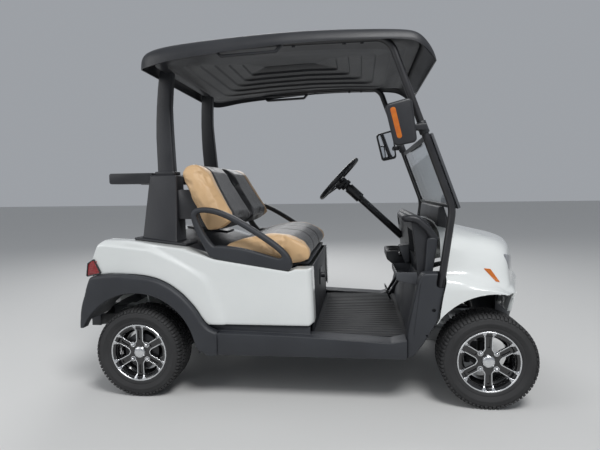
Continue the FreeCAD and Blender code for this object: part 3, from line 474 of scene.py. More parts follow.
WHITE = finish("white_gelcoat", (0.70, 0.725, 0.715), (0.755, 0.775, 0.765), (0.16, 0.24), 3.0,
               [("noise", 90.0, 0.0002)], coat_weight=0.7, coat_roughness=0.06)
CHARCOAL = finish("charcoal_grained_plastic", (0.021, 0.023, 0.028), (0.031, 0.034, 0.040), (0.46, 0.58), 5.0,
                  [("noise", 900.0, 0.0004), ("noise", 30.0, 0.0003)])
CANOPY = finish("black_canopy_plastic", (0.015, 0.016, 0.019), (0.024, 0.025, 0.029), (0.36, 0.48), 4.0,
                [("noise", 1100.0, 0.0003), ("noise", 14.0, 0.0006)])
BLACK_PAINT = finish("black_powder_coat", (0.012, 0.012, 0.014), (0.020, 0.020, 0.023), (0.30, 0.42), 12.0,
                     [("noise", 700.0, 0.0002)], coat_weight=0.25, coat_roughness=0.3)
ALUMINIUM = finish("frame_aluminium", (0.42, 0.43, 0.44), (0.55, 0.56, 0.57), (0.34, 0.5), 10.0,
                   [("noise", 250.0, 0.0002)], metallic=1.0)
MACHINED = finish("machined_aluminium", (0.66, 0.67, 0.69), (0.78, 0.79, 0.80), (0.20, 0.30), 40.0,
                  [("rings", 260.0, 0.00006)], metallic=1.0)
GLOSS_BLACK = finish("gloss_black_wheel_paint", (0.006, 0.006, 0.007), (0.012, 0.012, 0.013), (0.10, 0.2), 20.0,
                     [("noise", 200.0, 0.00005)], coat_weight=0.8, coat_roughness=0.05)
RUBBER = finish("tyre_rubber", (0.018, 0.018, 0.019), (0.034, 0.034, 0.035), (0.62, 0.78), 9.0,
                [("noise", 500.0, 0.0005)])
MAT = finish("ribbed_floor_rubber", (0.016, 0.017, 0.019), (0.028, 0.029, 0.032), (0.55, 0.7), 7.0,
             [("noise", 600.0, 0.0005)])
TAN = finish("tan_vinyl", (0.56, 0.36, 0.185), (0.66, 0.44, 0.235), (0.36, 0.46), 5.0,
             [("cells", 420.0, 0.0006), ("noise", 24.0, 0.0012)], sheen_weight=0.1)
DARK_VINYL = finish("black_vinyl", (0.020, 0.020, 0.022), (0.032, 0.032, 0.035), (0.38, 0.5), 6.0,
                    [("cells", 420.0, 0.0006), ("noise", 24.0, 0.0012)], sheen_weight=0.1)
GREY_PLASTIC = finish("grey_dash_plastic", (0.050, 0.053, 0.060), (0.075, 0.079, 0.087), (0.42, 0.55), 8.0,
                      [("noise", 900.0, 0.0003)])
AMBER = finish("amber_lens", (0.80, 0.17, 0.008), (0.95, 0.26, 0.012), (0.10, 0.16), 30.0,
               [("linesZ", 120.0, 0.0012)], coat_weight=0.8, transmission_weight=0.25)
RED = finish("red_lens", (0.30, 0.006, 0.010), (0.46, 0.012, 0.016), (0.08, 0.15), 30.0,
             [("linesZ", 90.0, 0.0010)], coat_weight=0.9, transmission_weight=0.25)
LAMP = finish("lamp_lens", (0.16, 0.17, 0.18), (0.30, 0.31, 0.33), (0.05, 0.1), 30.0,
              [("linesX", 60.0, 0.0008)], coat_weight=1.0)
CLEAR = finish("clear_polycarbonate", (0.86, 0.90, 0.92), (0.90, 0.93, 0.95), (0.01, 0.04), 3.0,
               [("noise", 3.0, 0.0004)], transmission_weight=1.0, ior=1.4)
MIRROR_GLASS = finish("mirror_glass", (0.80, 0.82, 0.84), (0.86, 0.88, 0.9), (0.02, 0.04), 3.0, [], metallic=1.0)
BATTERY = finish("battery_case", (0.045, 0.047, 0.052), (0.06, 0.062, 0.066), (0.45, 0.6), 8.0,
                 [("noise", 500.0, 0.0004)])


def kept(piece, name, material, slot, nodes=(), body="chassis", smooth=40):
    """Names a piece, gives it its finish and ties it to its body."""
    use(piece)
    piece.name = name
    piece.data.name = name
    if not piece.data.materials:
        piece.data.materials.append(material)
    bpy.ops.object.shade_smooth_by_angle(angle=math.radians(smooth))
    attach(piece, body)
    if nodes:
        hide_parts(*nodes)
    return piece


# Wheels, modelled about the origin with the outer face towards +Y

WHEELS = ("front_left", "front_right", "rear_left", "rear_right")
RIM_FACE = 0.063
SPOKE_COUNT = 6


def wheel_copies(piece, kind, material, slot):
    for place in WHEELS:
        centre = middle("rim_" + place)
        turn = Matrix.Rotation(0 if centre.y > 0 else math.pi, 4, "Z")
        copy = copied(piece, Matrix.Translation((centre.x, centre.y, AXLE_Z)) @ turn)
        node = kind + "_" + place
        kept(copy, node + "_detailed", material, slot, [node], "wheel_" + place)
    bpy.data.objects.remove(piece)


def tyre():
    """Tyre with a tread of block rows and lugs that run over its shoulders."""
    base = TYRE_RADIUS - 0.005
    side = [(0.1325, 0.0680), (0.1425, 0.0780), (0.1485, 0.0815), (0.1555, 0.0830), (0.1590, 0.0820)]
    side += [(0.168, 0.0870), (0.176, 0.0895), (0.179, 0.0912), (0.183, 0.0912), (0.185, 0.0898), (0.193, 0.0893)]
    side += [(0.202, 0.0868), (base - 0.006, 0.0800), (base - 0.001, 0.0710), (base, 0.0460), (base, 0.0180)]
    inner = [(0.1325, -0.060), (0.150, -0.070), (0.195, -0.070), (0.200, 0.0), (0.195, 0.070), (0.150, 0.070)]
    inner.append((0.1325, 0.060))
    pieces = [turned(side + [(r, -w) for r, w in reversed(side)] + inner, 120)]
    pitches = 72
    pitch = 2 * math.pi / pitches
    # Rows of blocks: place across, half width, half length, shift round the tyre in pitches, twist
    rows = [(0.0115, 0.0098, 0.0072, 0.0, 24), (-0.0115, 0.0098, 0.0072, 0.5, 24),
            (0.0365, 0.0118, 0.0071, 0.25, -20), (-0.0365, 0.0118, 0.0071, 0.75, -20)]
    for across, wide, long, shift, twist in rows:
        lug = block((-long, -wide, base - 0.002), (long, wide, TYRE_RADIUS - 0.0004), 0.0012, 1)
        place = Matrix.Translation((0, across, 0)) @ Matrix.Rotation(math.radians(twist), 4, "Z")
        settled(lug, Matrix.Rotation(shift * pitch, 4, "Y") @ place)
        pieces.append(ring_of(lug, pitches))
    # Every other shoulder lug runs further down the side
    for sign in (1, -1):
        for shift, foot in ((0.0, 0.2085), (1.0, 0.2045)):
            lug_side = [(TYRE_RADIUS - 0.0008, 0.056), (TYRE_RADIUS - 0.0012, 0.072), (TYRE_RADIUS - 0.0055, 0.0845)]
            lug_side += [(foot, TYRE_HALF - 0.0022), (foot - 0.003, TYRE_HALF - 0.0032), (foot - 0.005, 0.0850)]
            lug_side += [(base - 0.008, 0.077), (base - 0.004, 0.056)]
            lug = moulding([(sign * w, r) for r, w in lug_side], "YZ", -0.0064, 0.0064, 0.0011, 1)
            settled(lug, Matrix.Rotation((shift + 0.25 * sign) * pitch, 4, "Y"))
            pieces.append(ring_of(lug, pitches // 2))
    return joined(pieces)


def rim():
    """Rim with six spokes: bright lip, window bands, tabs, cap and nuts on gloss black."""
    r, lip = 0.127, 0.142
    barrel = [(lip, 0.0735), (lip, 0.0790), (lip - 0.0015, 0.0805), (0.1362, 0.0805), (0.1348, 0.0788)]
    barrel += [(0.1330, 0.0770), (0.1235, 0.0745), (0.1220, 0.0720), (0.121, 0.036), (0.104, 0.020)]
    barrel += [(0.104, -0.030), (0.121, -0.046), (0.122, -0.080), (r, -0.0835), (lip, -0.0835), (lip, -0.0785)]
    barrel += [(r, -0.0765), (r, -0.046), (0.109, -0.030), (0.109, 0.018), (r, 0.035), (r, 0.072)]
    ring = painted(turned(barrel, 144), GLOSS_BLACK, MACHINED)
    for face in ring.data.polygons:
        far = math.hypot(face.center.x, face.center.z)
        face.material_index = 1 if face.center.y > 0.0789 and far > 0.1345 else 0
    # Spoke plate: a disc with six windows and a long pocket in the face of each spoke
    between = Matrix.Rotation(math.pi / SPOKE_COUNT, 4, "Y")
    low = RIM_FACE - 0.016
    plate = rod((0, low, 0), (0, RIM_FACE, 0), 0.1213, 0.001, 144)
    window = [(0.0485, 0, 0.007), (0.0560, 0.0145, 0.014), (0.1037, 0.0405, 0.006), (0.1165, 0.022, 0.03)]
    window += [(0.1165, -0.022, 0.03), (0.1037, -0.0405, 0.006), (0.0560, -0.0145, 0.014)]
    carved(plate, ring_of(moulding(window, "XZ", low - 0.01, RIM_FACE + 0.01, 0, steps=4), SPOKE_COUNT))
    pocket = [(0.062, -0.0062, 0.005), (0.1075, -0.0070, 0.005), (0.1075, 0.0070, 0.005), (0.062, 0.0062, 0.005)]
    cutter = settled(moulding(pocket, "XZ", RIM_FACE - 0.006, RIM_FACE + 0.01, 0, steps=3), between)
    painted(carved(plate, ring_of(cutter, SPOKE_COUNT)), GLOSS_BLACK)
    # Bright band round each window, open at the rim
    grown = [(0.0464, 0, 0.009), (0.0547, 0.0163, 0.016), (0.1060, 0.0445, 0.004), (0.1190, 0.024, 0.03)]
    grown += [(0.1190, -0.024, 0.03), (0.1060, -0.0445, 0.004), (0.0547, -0.0163, 0.016)]
    band = moulding(grown, "XZ", RIM_FACE - 0.005, RIM_FACE + 0.0012, 0, band=0.0038)
    carved(band, rod((0, 0.04, 0), (0, 0.09, 0), 0.1135, 0, 96), "INTERSECT")
    bands = ring_of(softened(band, 0.0005, 1, 50), SPOKE_COUNT)
    # Bright tabs in pairs at the end of each spoke
    tab_end, tab_long, tab_turn = 0.1352, 0.0217, math.radians(9)
    tab = [(tab_end, -0.0098), (tab_end, 0.0098), (tab_end - tab_long, 0.0019), (tab_end - tab_long, -0.0019)]
    tab = moulding(tab, "XZ", 0.0700, 0.0792, 0.0007, 1)
    for vertex in tab.data.vertices:
        vertex.co.y -= 0.009 * (tab_end - vertex.co.x) / tab_long
    other = copied(tab, Matrix.Rotation(tab_turn, 4, "Y"))
    settled(tab, Matrix.Rotation(-tab_turn, 4, "Y"))
    tabs = ring_of(settled(joined([tab, other]), between), SPOKE_COUNT)
    # The profiles stop just short of the middle, where the ring would close on itself
    core = 0.0001
    cap = [(core, 0.0785), (0.016, 0.0775), (0.0255, 0.0745), (0.0285, 0.0700), (0.0300, 0.0610), (core, 0.0610)]
    cap = turned(cap, 48)
    nut = [(core, 0.0765), (0.0052, 0.0750), (0.0078, 0.0720), (0.0092, 0.0670), (0.0092, 0.0565), (core, 0.0565)]
    nut = turned(nut, 6)
    seat = turned([(0.0092, 0.0640), (0.0125, 0.0640), (0.0135, 0.0624), (0.0092, 0.0624)], 24)
    nuts = ring_of(settled(joined([nut, seat]), Matrix.Translation((0.0508, 0, 0))), 4)
    settled(nuts, Matrix.Rotation(math.radians(45), 4, "Y"))
    hub = painted(turned([(0.052, 0.055), (0.052, 0.0400), (0.0145, 0.0400), (0.0145, 0.055)], 64), GLOSS_BLACK)
    return joined([ring, plate] + [painted(piece, MACHINED) for piece in (bands, tabs, cap, nuts)] + [hub])


wheel_copies(tyre(), "tyre", RUBBER, "tyre")
wheel_copies(rim(), "rim", MACHINED, "machined")


# Pieces whose solids are right already: soft edges and a finish

def dressed(node, material, slot, body, width):
    """Copy of a solid's mesh with its edges rounded, which stands for the solid."""
    piece = copied(frame["nodes"][node])
    piece.parent = None
    painted(settled(piece, Matrix.Identity(4)))
    edit(piece, "VERT")
    bpy.ops.mesh.remove_doubles(threshold=0.00002)
    bpy.ops.mesh.dissolve_limited(angle_limit=math.radians(1.5))
    clear()
    if width:
        softened(piece, width)
    return kept(piece, node + "_moulded", material, slot, [node], body)


# Rear body

# Outer edge of the rear flare, from its foot on the sill over the wheel to its tail
FLARE_EDGE = [(0.404, 0.005), (0.404, 0.113, 0.003), (0.361, 0.134, 0.08), (0.331, 0.168, 0.15), (0.296, 0.225, 0.25),
              (0.236, 0.291, 0.25), (0.175, 0.336, 0.25), (0.114, 0.366, 0.25), (0.051, 0.381, 0.25),
              (-0.012, 0.387, 0.3), (-0.140, 0.390), (-0.234, 0.378, 0.02), (-0.263, 0.294, 0.06), (-0.291, 0.125)]
FLARE_LINE = [tuple(p) for p in rounded(FLARE_EDGE, False)]
FLARE_LIP = FLARE_SIDE - 0.046
SKIRT_LINE = 0.145
DECK_INNER = 0.441        # how near the middle the panel turns in


def polar(radius, degrees):
    return radius * math.cos(math.radians(degrees)), radius * math.sin(math.radians(degrees))


def arc(radius, first, last, count=32):
    """Points (x, z) on a circle about an axle, between two angles in degrees."""
    return [polar(radius, first + (last - first) * i / count) for i in range(count + 1)]


def flares():
    """Wheel flares that sweep from the sill over the rear wheels, with the arch behind them."""
    far = [(math.degrees(math.atan2(z, x)), math.hypot(x, z)) for x, z in FLARE_LINE]
    near = [(0.7, 0.355), (2.4, 0.338), (4.5, 0.319), (8, 0.3015), (12, ARCH_RADIUS), (158, ARCH_RADIUS)]
    start, count = 0.7, 132
    turns = [start + 154.7 * i / count for i in range(count + 1)]
    others = [start + 156.0 * i / count for i in range(count + 1)]
    first = [polar(level(near, turn), turn) for turn in turns]
    second = [polar(level(far, turn), turn) for turn in others]
    whole = ribbon(rear(first), rear(second), FLARE_LIP, FLARE_SIDE, (0.001, 0.006, 0.019, 0.001), steps=5)
    # The round top rim fades out where the flare meets the sill
    for vertex in whole.data.vertices:
        if vertex.co.x > REAR_AXLE.x + 0.3985 and vertex.co.z < AXLE_Z + 0.116:
            vertex.co.x = REAR_AXLE.x + 0.404
    house = arc(ARCH_RADIUS + 0.006, 148, 0) + arc(ARCH_RADIUS, 0, 148)
    return both_sides(joined([whole, moulding(rear(house), "XZ", 0.367, FLARE_LIP + 0.002, 0)]))


# Side of the rear body, (x, z) from the rear axle: its top edge, the crest of the haunch over the wheel,
# and how far and how softly the side steps in above the crest
DECK_EDGE = [(-0.243, 0.384), (-0.231, 0.460), (-0.206, 0.522), (-0.194, 0.545), (-0.183, 0.554), (-0.060, 0.549),
             (0.226, 0.514), (0.387, 0.462), (0.752, 0.404), (0.768, 0.411), (0.782, 0.417), (0.868, 0.417)]
CREST = [(-0.243, 0.535), (-0.156, 0.533), (-0.026, 0.518), (0.070, 0.506), (0.132, 0.479), (0.195, 0.450),
         (0.257, 0.416), (0.318, 0.375), (0.354, 0.339), (0.430, 0.130)]
CREST_STEP = [(-0.240, 0.058), (0.0, 0.045), (0.070, 0.030), (0.130, 0.019), (0.200, 0.015), (0.260, 0.012),
              (0.360, 0.009), (0.9, 0.008)]
CREST_WIDTH = [(-0.240, 0.036), (0.070, 0.026), (0.220, 0.020), (0.300, 0.030), (0.360, 0.075), (0.430, 0.120)]


def side_y(x, z):
    """Outer face of the rear body: a haunch over the wheel that stands out below its crest."""
    above = (z - level(CREST, x)) / level(CREST_WIDTH, x)
    if x > 0.430:
        above = 1.0
    swell = 0.003 * math.sin(math.pi * min(1.0, max(0.0, (x + 0.243) / 1.11)))
    return BODY_SIDE - level(CREST_STEP, x) * eased(above + 0.15) - 0.003 + swell


def panel_column(x, bottom, inset=0.0):
    """Points up the side panel at one place, with a lip turned in at both ends."""
    low = max(level(bottom, x) + 0.0015, SKIRT_LINE) if x < 0.38 else SKIRT_LINE
    low += 0.012 * eased((x - 0.845) / 0.02)
    tall = max(level(DECK_EDGE, x) - low, 0.001)
    lip = min(0.006, tall * 0.3)
    steps = [(0.0, 0.020), (0.0, 0.006), (0.3 * lip, 0.0018), (lip, 0.0)]
    steps += [(lip + (tall - 2 * lip) * k / 34, 0.0) for k in range(1, 34)]
    steps += [(tall - lip, 0.0), (tall - 0.3 * lip, 0.3 * lip), (tall, lip), (tall, 0.030)]
    spots = [(x, side_y(x, low + h) - inset - back, low + h) for h, back in steps]
    last = spots[-1]
    return spots + [(x, min(DECK_INNER, last[1]), last[2]) if tall > 0.02 else last]


def quarters():
    """White sides of the rear body: the panel, the haunch over the wheel and the shoulder."""
    tail, ahead, corner = -0.183, 0.868, 0.036
    places = [-0.2412, -0.2385, -0.235, -0.231, -0.224, -0.215, -0.206, -0.198, -0.190, tail]
    places += [tail + (ahead - corner - tail) * k / 60 for k in range(1, 61)]
    bottom = [(-0.243, 0.384), (-0.2355, 0.381)]
    bottom += [(x, z) for x, z in reversed(FLARE_LINE) if z > 0.13 and x > -0.236]
    columns = [panel_column(x, bottom) for x in places]
    for k in range(1, 7):
        turn = math.radians(15 * k)
        columns.append(panel_column(ahead - corner + corner * math.sin(turn), bottom, corner * (1 - math.cos(turn))))
    last = columns[-1]
    columns.append([(x, min(y, 0.480), z) for x, y, z in last])
    columns.append([(x, DECK_INNER, z) for x, y, z in last])

    def leaning(x, z):
        # The front edge leans back towards its top
        return REAR_AXLE.x + x - 0.008 * eased((x - 0.80) / 0.06) * max(0.0, (z - 0.185) / 0.232)
    rows = [[(leaning(x, z), y, AXLE_Z + z) for x, y, z in column] for column in columns]
    panel = facing(outwards(welded(skinned(rows))), 1)
    return both_sides(outwards(welded(applied(panel, "SOLIDIFY", thickness=0.004, offset=-1.0))))


def tail_outline(shrink=0.0):
    return rear([(-0.262 + shrink, 0.374 + shrink, 0.008), (-0.252 + shrink, 0.444, 0.008),
                 (-0.217, 0.466 - shrink, 0.006), (-0.180 - shrink, 0.392, 0.008)])


def tail_lenses():
    lens = [moulding(tail_outline(0.006), "XZ", BODY_SIDE - 0.076, BODY_SIDE + 0.004, 0.004, 3)]
    for k in range(7):
        z = AXLE_Z + 0.394 + 0.0095 * k
        slant = 0.0022 * k
        low = (REAR_AXLE.x - 0.250 + slant, BODY_SIDE - 0.002, z - 0.0028)
        high = (REAR_AXLE.x - 0.202 - 0.2 * slant, BODY_SIDE + 0.0055, z + 0.0028)
        lens.append(block(low, high, 0.0015, 2))
    return both_sides(joined(lens))


def tail_housings():
    return both_sides(moulding(tail_outline(), "XZ", BODY_SIDE - 0.070, BODY_SIDE + 0.006, 0.0018, 2, band=0.0058))


def armrests():
    """Hip restraints: a curved grip over a thick lower beam, as outer and inner points in pairs."""
    pairs = [(0.352, 0.490, 0.392, 0.522), (0.332, 0.530, 0.366, 0.545), (0.305, 0.578, 0.337, 0.592),
             (0.283, 0.630, 0.314, 0.640), (0.272, 0.676, 0.302, 0.670), (0.281, 0.699, 0.308, 0.681),
             (0.304, 0.7125, 0.320, 0.6865), (0.345, 0.7155, 0.345, 0.6875), (0.390, 0.7095, 0.383, 0.6815),
             (0.430, 0.6980, 0.420, 0.671), (0.497, 0.667, 0.483, 0.6415), (0.550, 0.636, 0.534, 0.6115),
             (0.613, 0.5965, 0.596, 0.573), (0.665, 0.561, 0.645, 0.540), (0.709, 0.5285, 0.687, 0.509),
             (0.742, 0.498, 0.711, 0.486), (0.760, 0.472, 0.718, 0.474), (0.7685, 0.444, 0.710, 0.467),
             (0.765, 0.418, 0.698, 0.468), (0.750, 0.405, 0.685, 0.4715), (0.690, 0.412, 0.650, 0.482),
             (0.634, 0.421, 0.611, 0.494), (0.570, 0.430, 0.560, 0.508), (0.511, 0.440, 0.513, 0.519),
             (0.440, 0.452, 0.450, 0.526), (0.386, 0.463, 0.412, 0.529), (0.364, 0.474, 0.399, 0.528)]
    inner = rear([(p[2], p[3]) for p in pairs])
    outer = rear([(p[0], p[1]) for p in pairs])
    loop = refined(ribbon(inner, outer, 0.5045, 0.5455, (0.0135,) * 4, closed=True), 1)
    return both_sides(loop)


# Canopy

# From the rear axle: place, share of the half width, drop of the top, drop of the skirt, shoulder
CANOPY_ROWS = [
    (0.040, 0.86, 0.122, 0.150, 0.006), (0.052, 0.905, 0.098, 0.1515, 0.016), (0.070, 0.945, 0.074, 0.153, 0.026),
    (0.108, 0.985, 0.052, 0.155, 0.045), (0.190, 1.0, 0.037, 0.138, 0.052), (0.275, 1.0, 0.026, 0.123, 0.055),
    (0.525, 1.0, 0.009, 0.103, 0.055), (0.790, 1.0, 0.0, 0.082, 0.050), (1.044, 1.0, 0.004, 0.080, 0.050),
    (1.264, 1.0, 0.017, 0.088, 0.045), (1.335, 0.992, 0.028, 0.097, 0.040), (1.372, 0.965, 0.055, 0.121, 0.033),
    (1.402, 0.93, 0.092, 0.147, 0.022), (1.422, 0.89, 0.125, 0.163, 0.012), (1.431, 0.86, 0.150, 0.170, 0.006),
]


def canopy_drop(x, column):
    """Drop of the top or the skirt at a place counted from the rear axle."""
    return level([(row[0], row[column]) for row in CANOPY_ROWS], x)


def canopy_shell():
    rows = []
    for x, share, drop, skirt, shoulder in CANOPY_ROWS:
        half = ROOF_HALF * share
        top, low = ROOF_TOP - drop, ROOF_TOP - skirt
        edge = top - 0.014
        line = [(half, low), (half, low + (edge - shoulder - low) * 0.5), (half - 0.001, edge - shoulder)]
        line += [(half - shoulder * 0.30, edge - shoulder * 0.30), (half - shoulder, edge)]
        line += [(half * 0.72, top - 0.005), (half * 0.36, top - 0.001), (0.0, top)]
        line += [(-y, z) for y, z in reversed(line[:-1])]
        rows.append([(REAR_AXLE.x + x, y, z) for y, z in line])
    ends = [[(x, y, row[0][2]) for x, y, z in row] for row in (rows[0], rows[-1])]
    shell = refined(welded(skinned([ends[0]] + rows + [ends[1]])))
    return applied(facing(shell, 2), "SOLIDIFY", thickness=0.006, offset=-1.0)


def rounded_ring(x0, x1, y1, corner, parts=10):
    """Points round a rectangle with round corners, as many on every ring."""
    steps = 5
    line = rounded([(x0, -y1, corner), (x1, -y1, corner), (x1, y1, corner), (x0, y1, corner)], steps=steps)
    spots = []
    for k, here in enumerate(line):
        spots.append(here)
        if k % (steps + 1) == steps:
            there = line[(k + 1) % len(line)]
            spots += [here.lerp(there, j / parts) for j in range(1, parts)]
    return spots


def canopy_liner():
    """Ceiling in nested steps that rise towards the middle."""
    back, ahead, half = 0.098, 1.362, ROOF_HALF - 0.024
    # Rings from the edge: how far in, and how far below the deepest one
    rings = [(0.0, 0.066)]
    for step in range(6):
        rings += [(0.055 + 0.075 * step, 0.066 - 0.011 * step), (0.062 + 0.075 * step, 0.055 - 0.011 * step)]
    rings.append((half - 0.004, 0.0))
    table = []
    for inset, drop in rings:
        corner = max(0.11 - inset * 0.2, 0.003)
        ring = []
        for x, y in rounded_ring(back + inset * 0.80, ahead - inset * 0.92, half - inset, corner):
            low = ROOF_TOP - canopy_drop(x, 3) + 0.026
            high = ROOF_TOP - canopy_drop(x, 2) - 0.022
            lift = min(1.0, inset / 0.16)
            ring.append((REAR_AXLE.x + x, y, low + (high - drop - low) * lift))
        table.append(ring + ring[:1])
    piece = facing(welded(skinned(table)), 2)
    return softened(applied(piece, "SOLIDIFY", thickness=0.003, offset=-1.0), 0.002, 1, 30)


def canopy_grips():
    """Hand grips under the sides of the canopy, with the bolts that hold the tubes."""
    grip = [(0.412, 1.442), (0.452, 1.402, 0.02), (0.712, 1.410, 0.02), (0.752, 1.452)]
    bar = moulding(rear(grip), "XZ", ROOF_HALF - 0.040, ROOF_HALF - 0.014, 0, band=0.013)
    pieces = [softened(bar, 0.004, 3, 50)]
    for x in (0.33, 0.79, 1.02, 1.10):
        low = Vector((REAR_AXLE.x + x, TUBE_Y, TUBE_RUN - TUBE_RADIUS - 0.006))
        pieces.append(rod(low, low + Vector((0, 0, 0.010)), 0.009, 0.0015, 6))
    return both_sides(joined(pieces))


def canopy():
    return joined([canopy_shell(), canopy_liner(), canopy_grips()])


def rear_struts():
    """Curved box struts on their feet: height, rear edge, front edge and inner face, from the rear axle."""
    table = [(0.8752, 0.059, 0.148, 0.355), (0.96, 0.054, 0.141, 0.346), (1.069, 0.049, 0.134, 0.338),
             (1.15, 0.049, 0.129, 0.331), (1.225, 0.051, 0.126, 0.324), (1.32, 0.057, 0.130, 0.316),
             (1.410, 0.066, 0.138, 0.308)]

    def plan(back, ahead, inner, outer, corner):
        x0, x1 = REAR_AXLE.x + back, REAR_AXLE.x + ahead
        return [(x0, inner, corner), (x1, inner, corner), (x1, outer, corner), (x0, outer, corner)]
    rows = []
    for z, back, ahead, inner in table:
        line = rounded(plan(back, ahead, inner, inner + 0.050, 0.010), steps=3)
        rows.append([(p.x, p.y, AXLE_Z + z) for p in line + line[:1]])
    strut = outwards(welded(skinned(rows)))
    edit(strut, "EDGE", False)
    bpy.ops.mesh.select_non_manifold()
    bpy.ops.mesh.edge_face_add()
    clear()
    low = AXLE_Z + table[0][0]
    foot = moulding(plan(0.045, 0.160, 0.335, 0.420, 0.02), "XY", low, low + 0.0178, 0.004, 2)
    return both_sides(outwards(joined([strut, foot])))


def front_tubes():
    """Tubes that rise from the side covers, lean back and run under the canopy."""
    points = [front_point(-0.214, TUBE_Y, 0.337), (*front_point(TUBE_BEND.x, TUBE_Y, TUBE_BEND.y), 0.16)]
    points += [(FRONT_AXLE.x + TUBE_LEAN_X, TUBE_Y, TUBE_RUN, 0.09), (REAR_AXLE.x + 0.285, TUBE_Y, TUBE_RUN)]
    return both_sides(tube(points, TUBE_RADIUS, 8, 12))


# Front body

# Outlines of the cowl from its rear edge over the top to its lip, by distance from the middle
COWL_ROWS = [
    (0.000, [(-0.205, 0.6225), (-0.161, 0.612), (-0.060, 0.587), (0.060, 0.559), (0.140, 0.539), (0.198, 0.511),
             (0.229, 0.454), (0.240, 0.385), (0.247, 0.346), (0.2725, 0.303), (0.269, 0.277)]),
    (0.200, [(-0.205, 0.619), (-0.161, 0.608), (-0.060, 0.582), (0.040, 0.556), (0.118, 0.535), (0.168, 0.503),
             (0.191, 0.444), (0.196, 0.378), (0.199, 0.346), (0.219, 0.303), (0.215, 0.277)]),
    (0.350, [(-0.205, 0.602), (-0.161, 0.591), (-0.062, 0.566), (0.022, 0.549), (0.087, 0.526), (0.124, 0.494),
             (0.142, 0.436), (0.148, 0.374), (0.152, 0.344), (0.173, 0.303), (0.169, 0.277)]),
    (0.430, [(-0.206, 0.581), (-0.161, 0.571), (-0.066, 0.547), (0.008, 0.527), (0.062, 0.502), (0.095, 0.468),
             (0.112, 0.414), (0.120, 0.364), (0.126, 0.340), (0.147, 0.305), (0.143, 0.279)]),
    (0.468, [(-0.207, 0.556), (-0.163, 0.546), (-0.070, 0.521), (0.000, 0.493), (0.046, 0.461), (0.076, 0.424),
             (0.095, 0.385), (0.106, 0.354), (0.113, 0.334), (0.135, 0.306), (0.131, 0.281)]),
    (0.492, [(-0.208, 0.53), (-0.166, 0.517), (-0.076, 0.482), (-0.012, 0.450), (0.030, 0.420), (0.058, 0.392),
             (0.079, 0.364), (0.093, 0.343), (0.101, 0.328), (0.124, 0.307), (0.120, 0.283)]),
    (0.506, [(-0.209, 0.47), (-0.171, 0.462), (-0.084, 0.446), (-0.026, 0.415), (0.012, 0.392), (0.040, 0.374),
             (0.064, 0.353), (0.081, 0.337), (0.091, 0.325), (0.115, 0.308), (0.111, 0.285)]),
    (0.518, [(-0.205, 0.424), (-0.178, 0.420), (-0.096, 0.412), (-0.042, 0.396), (-0.006, 0.380), (0.024, 0.364),
             (0.050, 0.347), (0.070, 0.333), (0.082, 0.323), (0.106, 0.309), (0.102, 0.287)]),
    (0.530, [(-0.196, 0.4), (-0.183, 0.398), (-0.110, 0.395), (-0.056, 0.384), (-0.016, 0.371), (0.014, 0.358),
             (0.040, 0.344), (0.060, 0.332), (0.074, 0.322), (0.098, 0.310), (0.094, 0.289)]),
    (0.560, [(-0.192, 0.387), (-0.186, 0.386), (-0.122, 0.379), (-0.074, 0.367), (-0.032, 0.355), (0.000, 0.346),
             (0.026, 0.338), (0.048, 0.330), (0.064, 0.322), (0.086, 0.312), (0.082, 0.293)]),
    (0.580, [(-0.194, 0.367), (-0.189, 0.366), (-0.132, 0.361), (-0.086, 0.352), (-0.046, 0.346), (-0.012, 0.341),
             (0.014, 0.336), (0.036, 0.330), (0.054, 0.324), (0.074, 0.315), (0.070, 0.297)]),
    (0.590, [(-0.206, 0.316), (-0.200, 0.320), (-0.142, 0.328), (-0.096, 0.332), (-0.056, 0.333), (-0.022, 0.333),
             (0.004, 0.331), (0.026, 0.328), (0.044, 0.324), (0.062, 0.317), (0.058, 0.302)]),
    (0.5915, [(-0.228, 0.176), (-0.222, 0.190), (-0.160, 0.245), (-0.100, 0.283), (-0.056, 0.298), (-0.022, 0.304),
              (0.004, 0.306), (0.026, 0.307), (0.044, 0.307), (0.060, 0.305), (0.056, 0.300)]),
]


def cowl_sheet():
    """Skin of the hood and both fenders."""
    rows = [[(x, y, z) for x, z in front(line)] for y, line in COWL_ROWS]
    other = [[(x, -y, z) for x, y, z in row] for row in reversed(rows[1:])]
    return facing(woven(other + rows, 6, 6), 2)


def cowl_shell():
    """White shell with its fenders, trimmed to the arches over the front wheels."""
    sheet = cowl_sheet()
    centre = front_point(0.026, 0, 0).xz

    def within(spot):
        return abs(spot.y) > 0.5 and (spot.xz - centre).length < FRONT_ARCH
    inside = [within(vertex.co) for vertex in sheet.data.vertices]
    hidden = {tuple(face.center) for face in sheet.data.polygons if all(inside[i] for i in face.vertices)}
    without(sheet, lambda spot: tuple(spot) in hidden)
    for vertex in sheet.data.vertices:
        if within(vertex.co):
            vertex.co.x, vertex.co.z = centre + (vertex.co.xz - centre).normalized() * FRONT_ARCH
    return applied(sheet, "SOLIDIFY", thickness=0.005, offset=-1.0)


def lens_on_cowl(cutter, low, high):
    """Part of the cowl's skin inside a cutter, standing 1 mm proud of it."""
    skin = without(cowl_sheet(), lambda spot: not all(a < p < b for a, p, b in zip(low, spot, high)))
    applied(skin, "SOLIDIFY", thickness=0.008, offset=-0.75)
    return both_sides(carved(skin, cutter, "INTERSECT"))


def front_liners():
    """Dark arches inside the front fenders."""
    return both_sides(front_bar(arc(ARCH_RADIUS + 0.004, 72, 141) + arc(ARCH_RADIUS + 0.001, 141, 72), 0.352, 0.500))


def marker_lenses():
    outline = [(-0.018, 0.421, 0.002), (0.015, 0.417, 0.002), (0.056, 0.357, 0.002), (0.035, 0.362, 0.002)]
    return lens_on_cowl(front_bar(outline, 0.44, 0.62), front_point(-0.05, 0.44, 0.32), front_point(0.09, 0.60, 0.46))


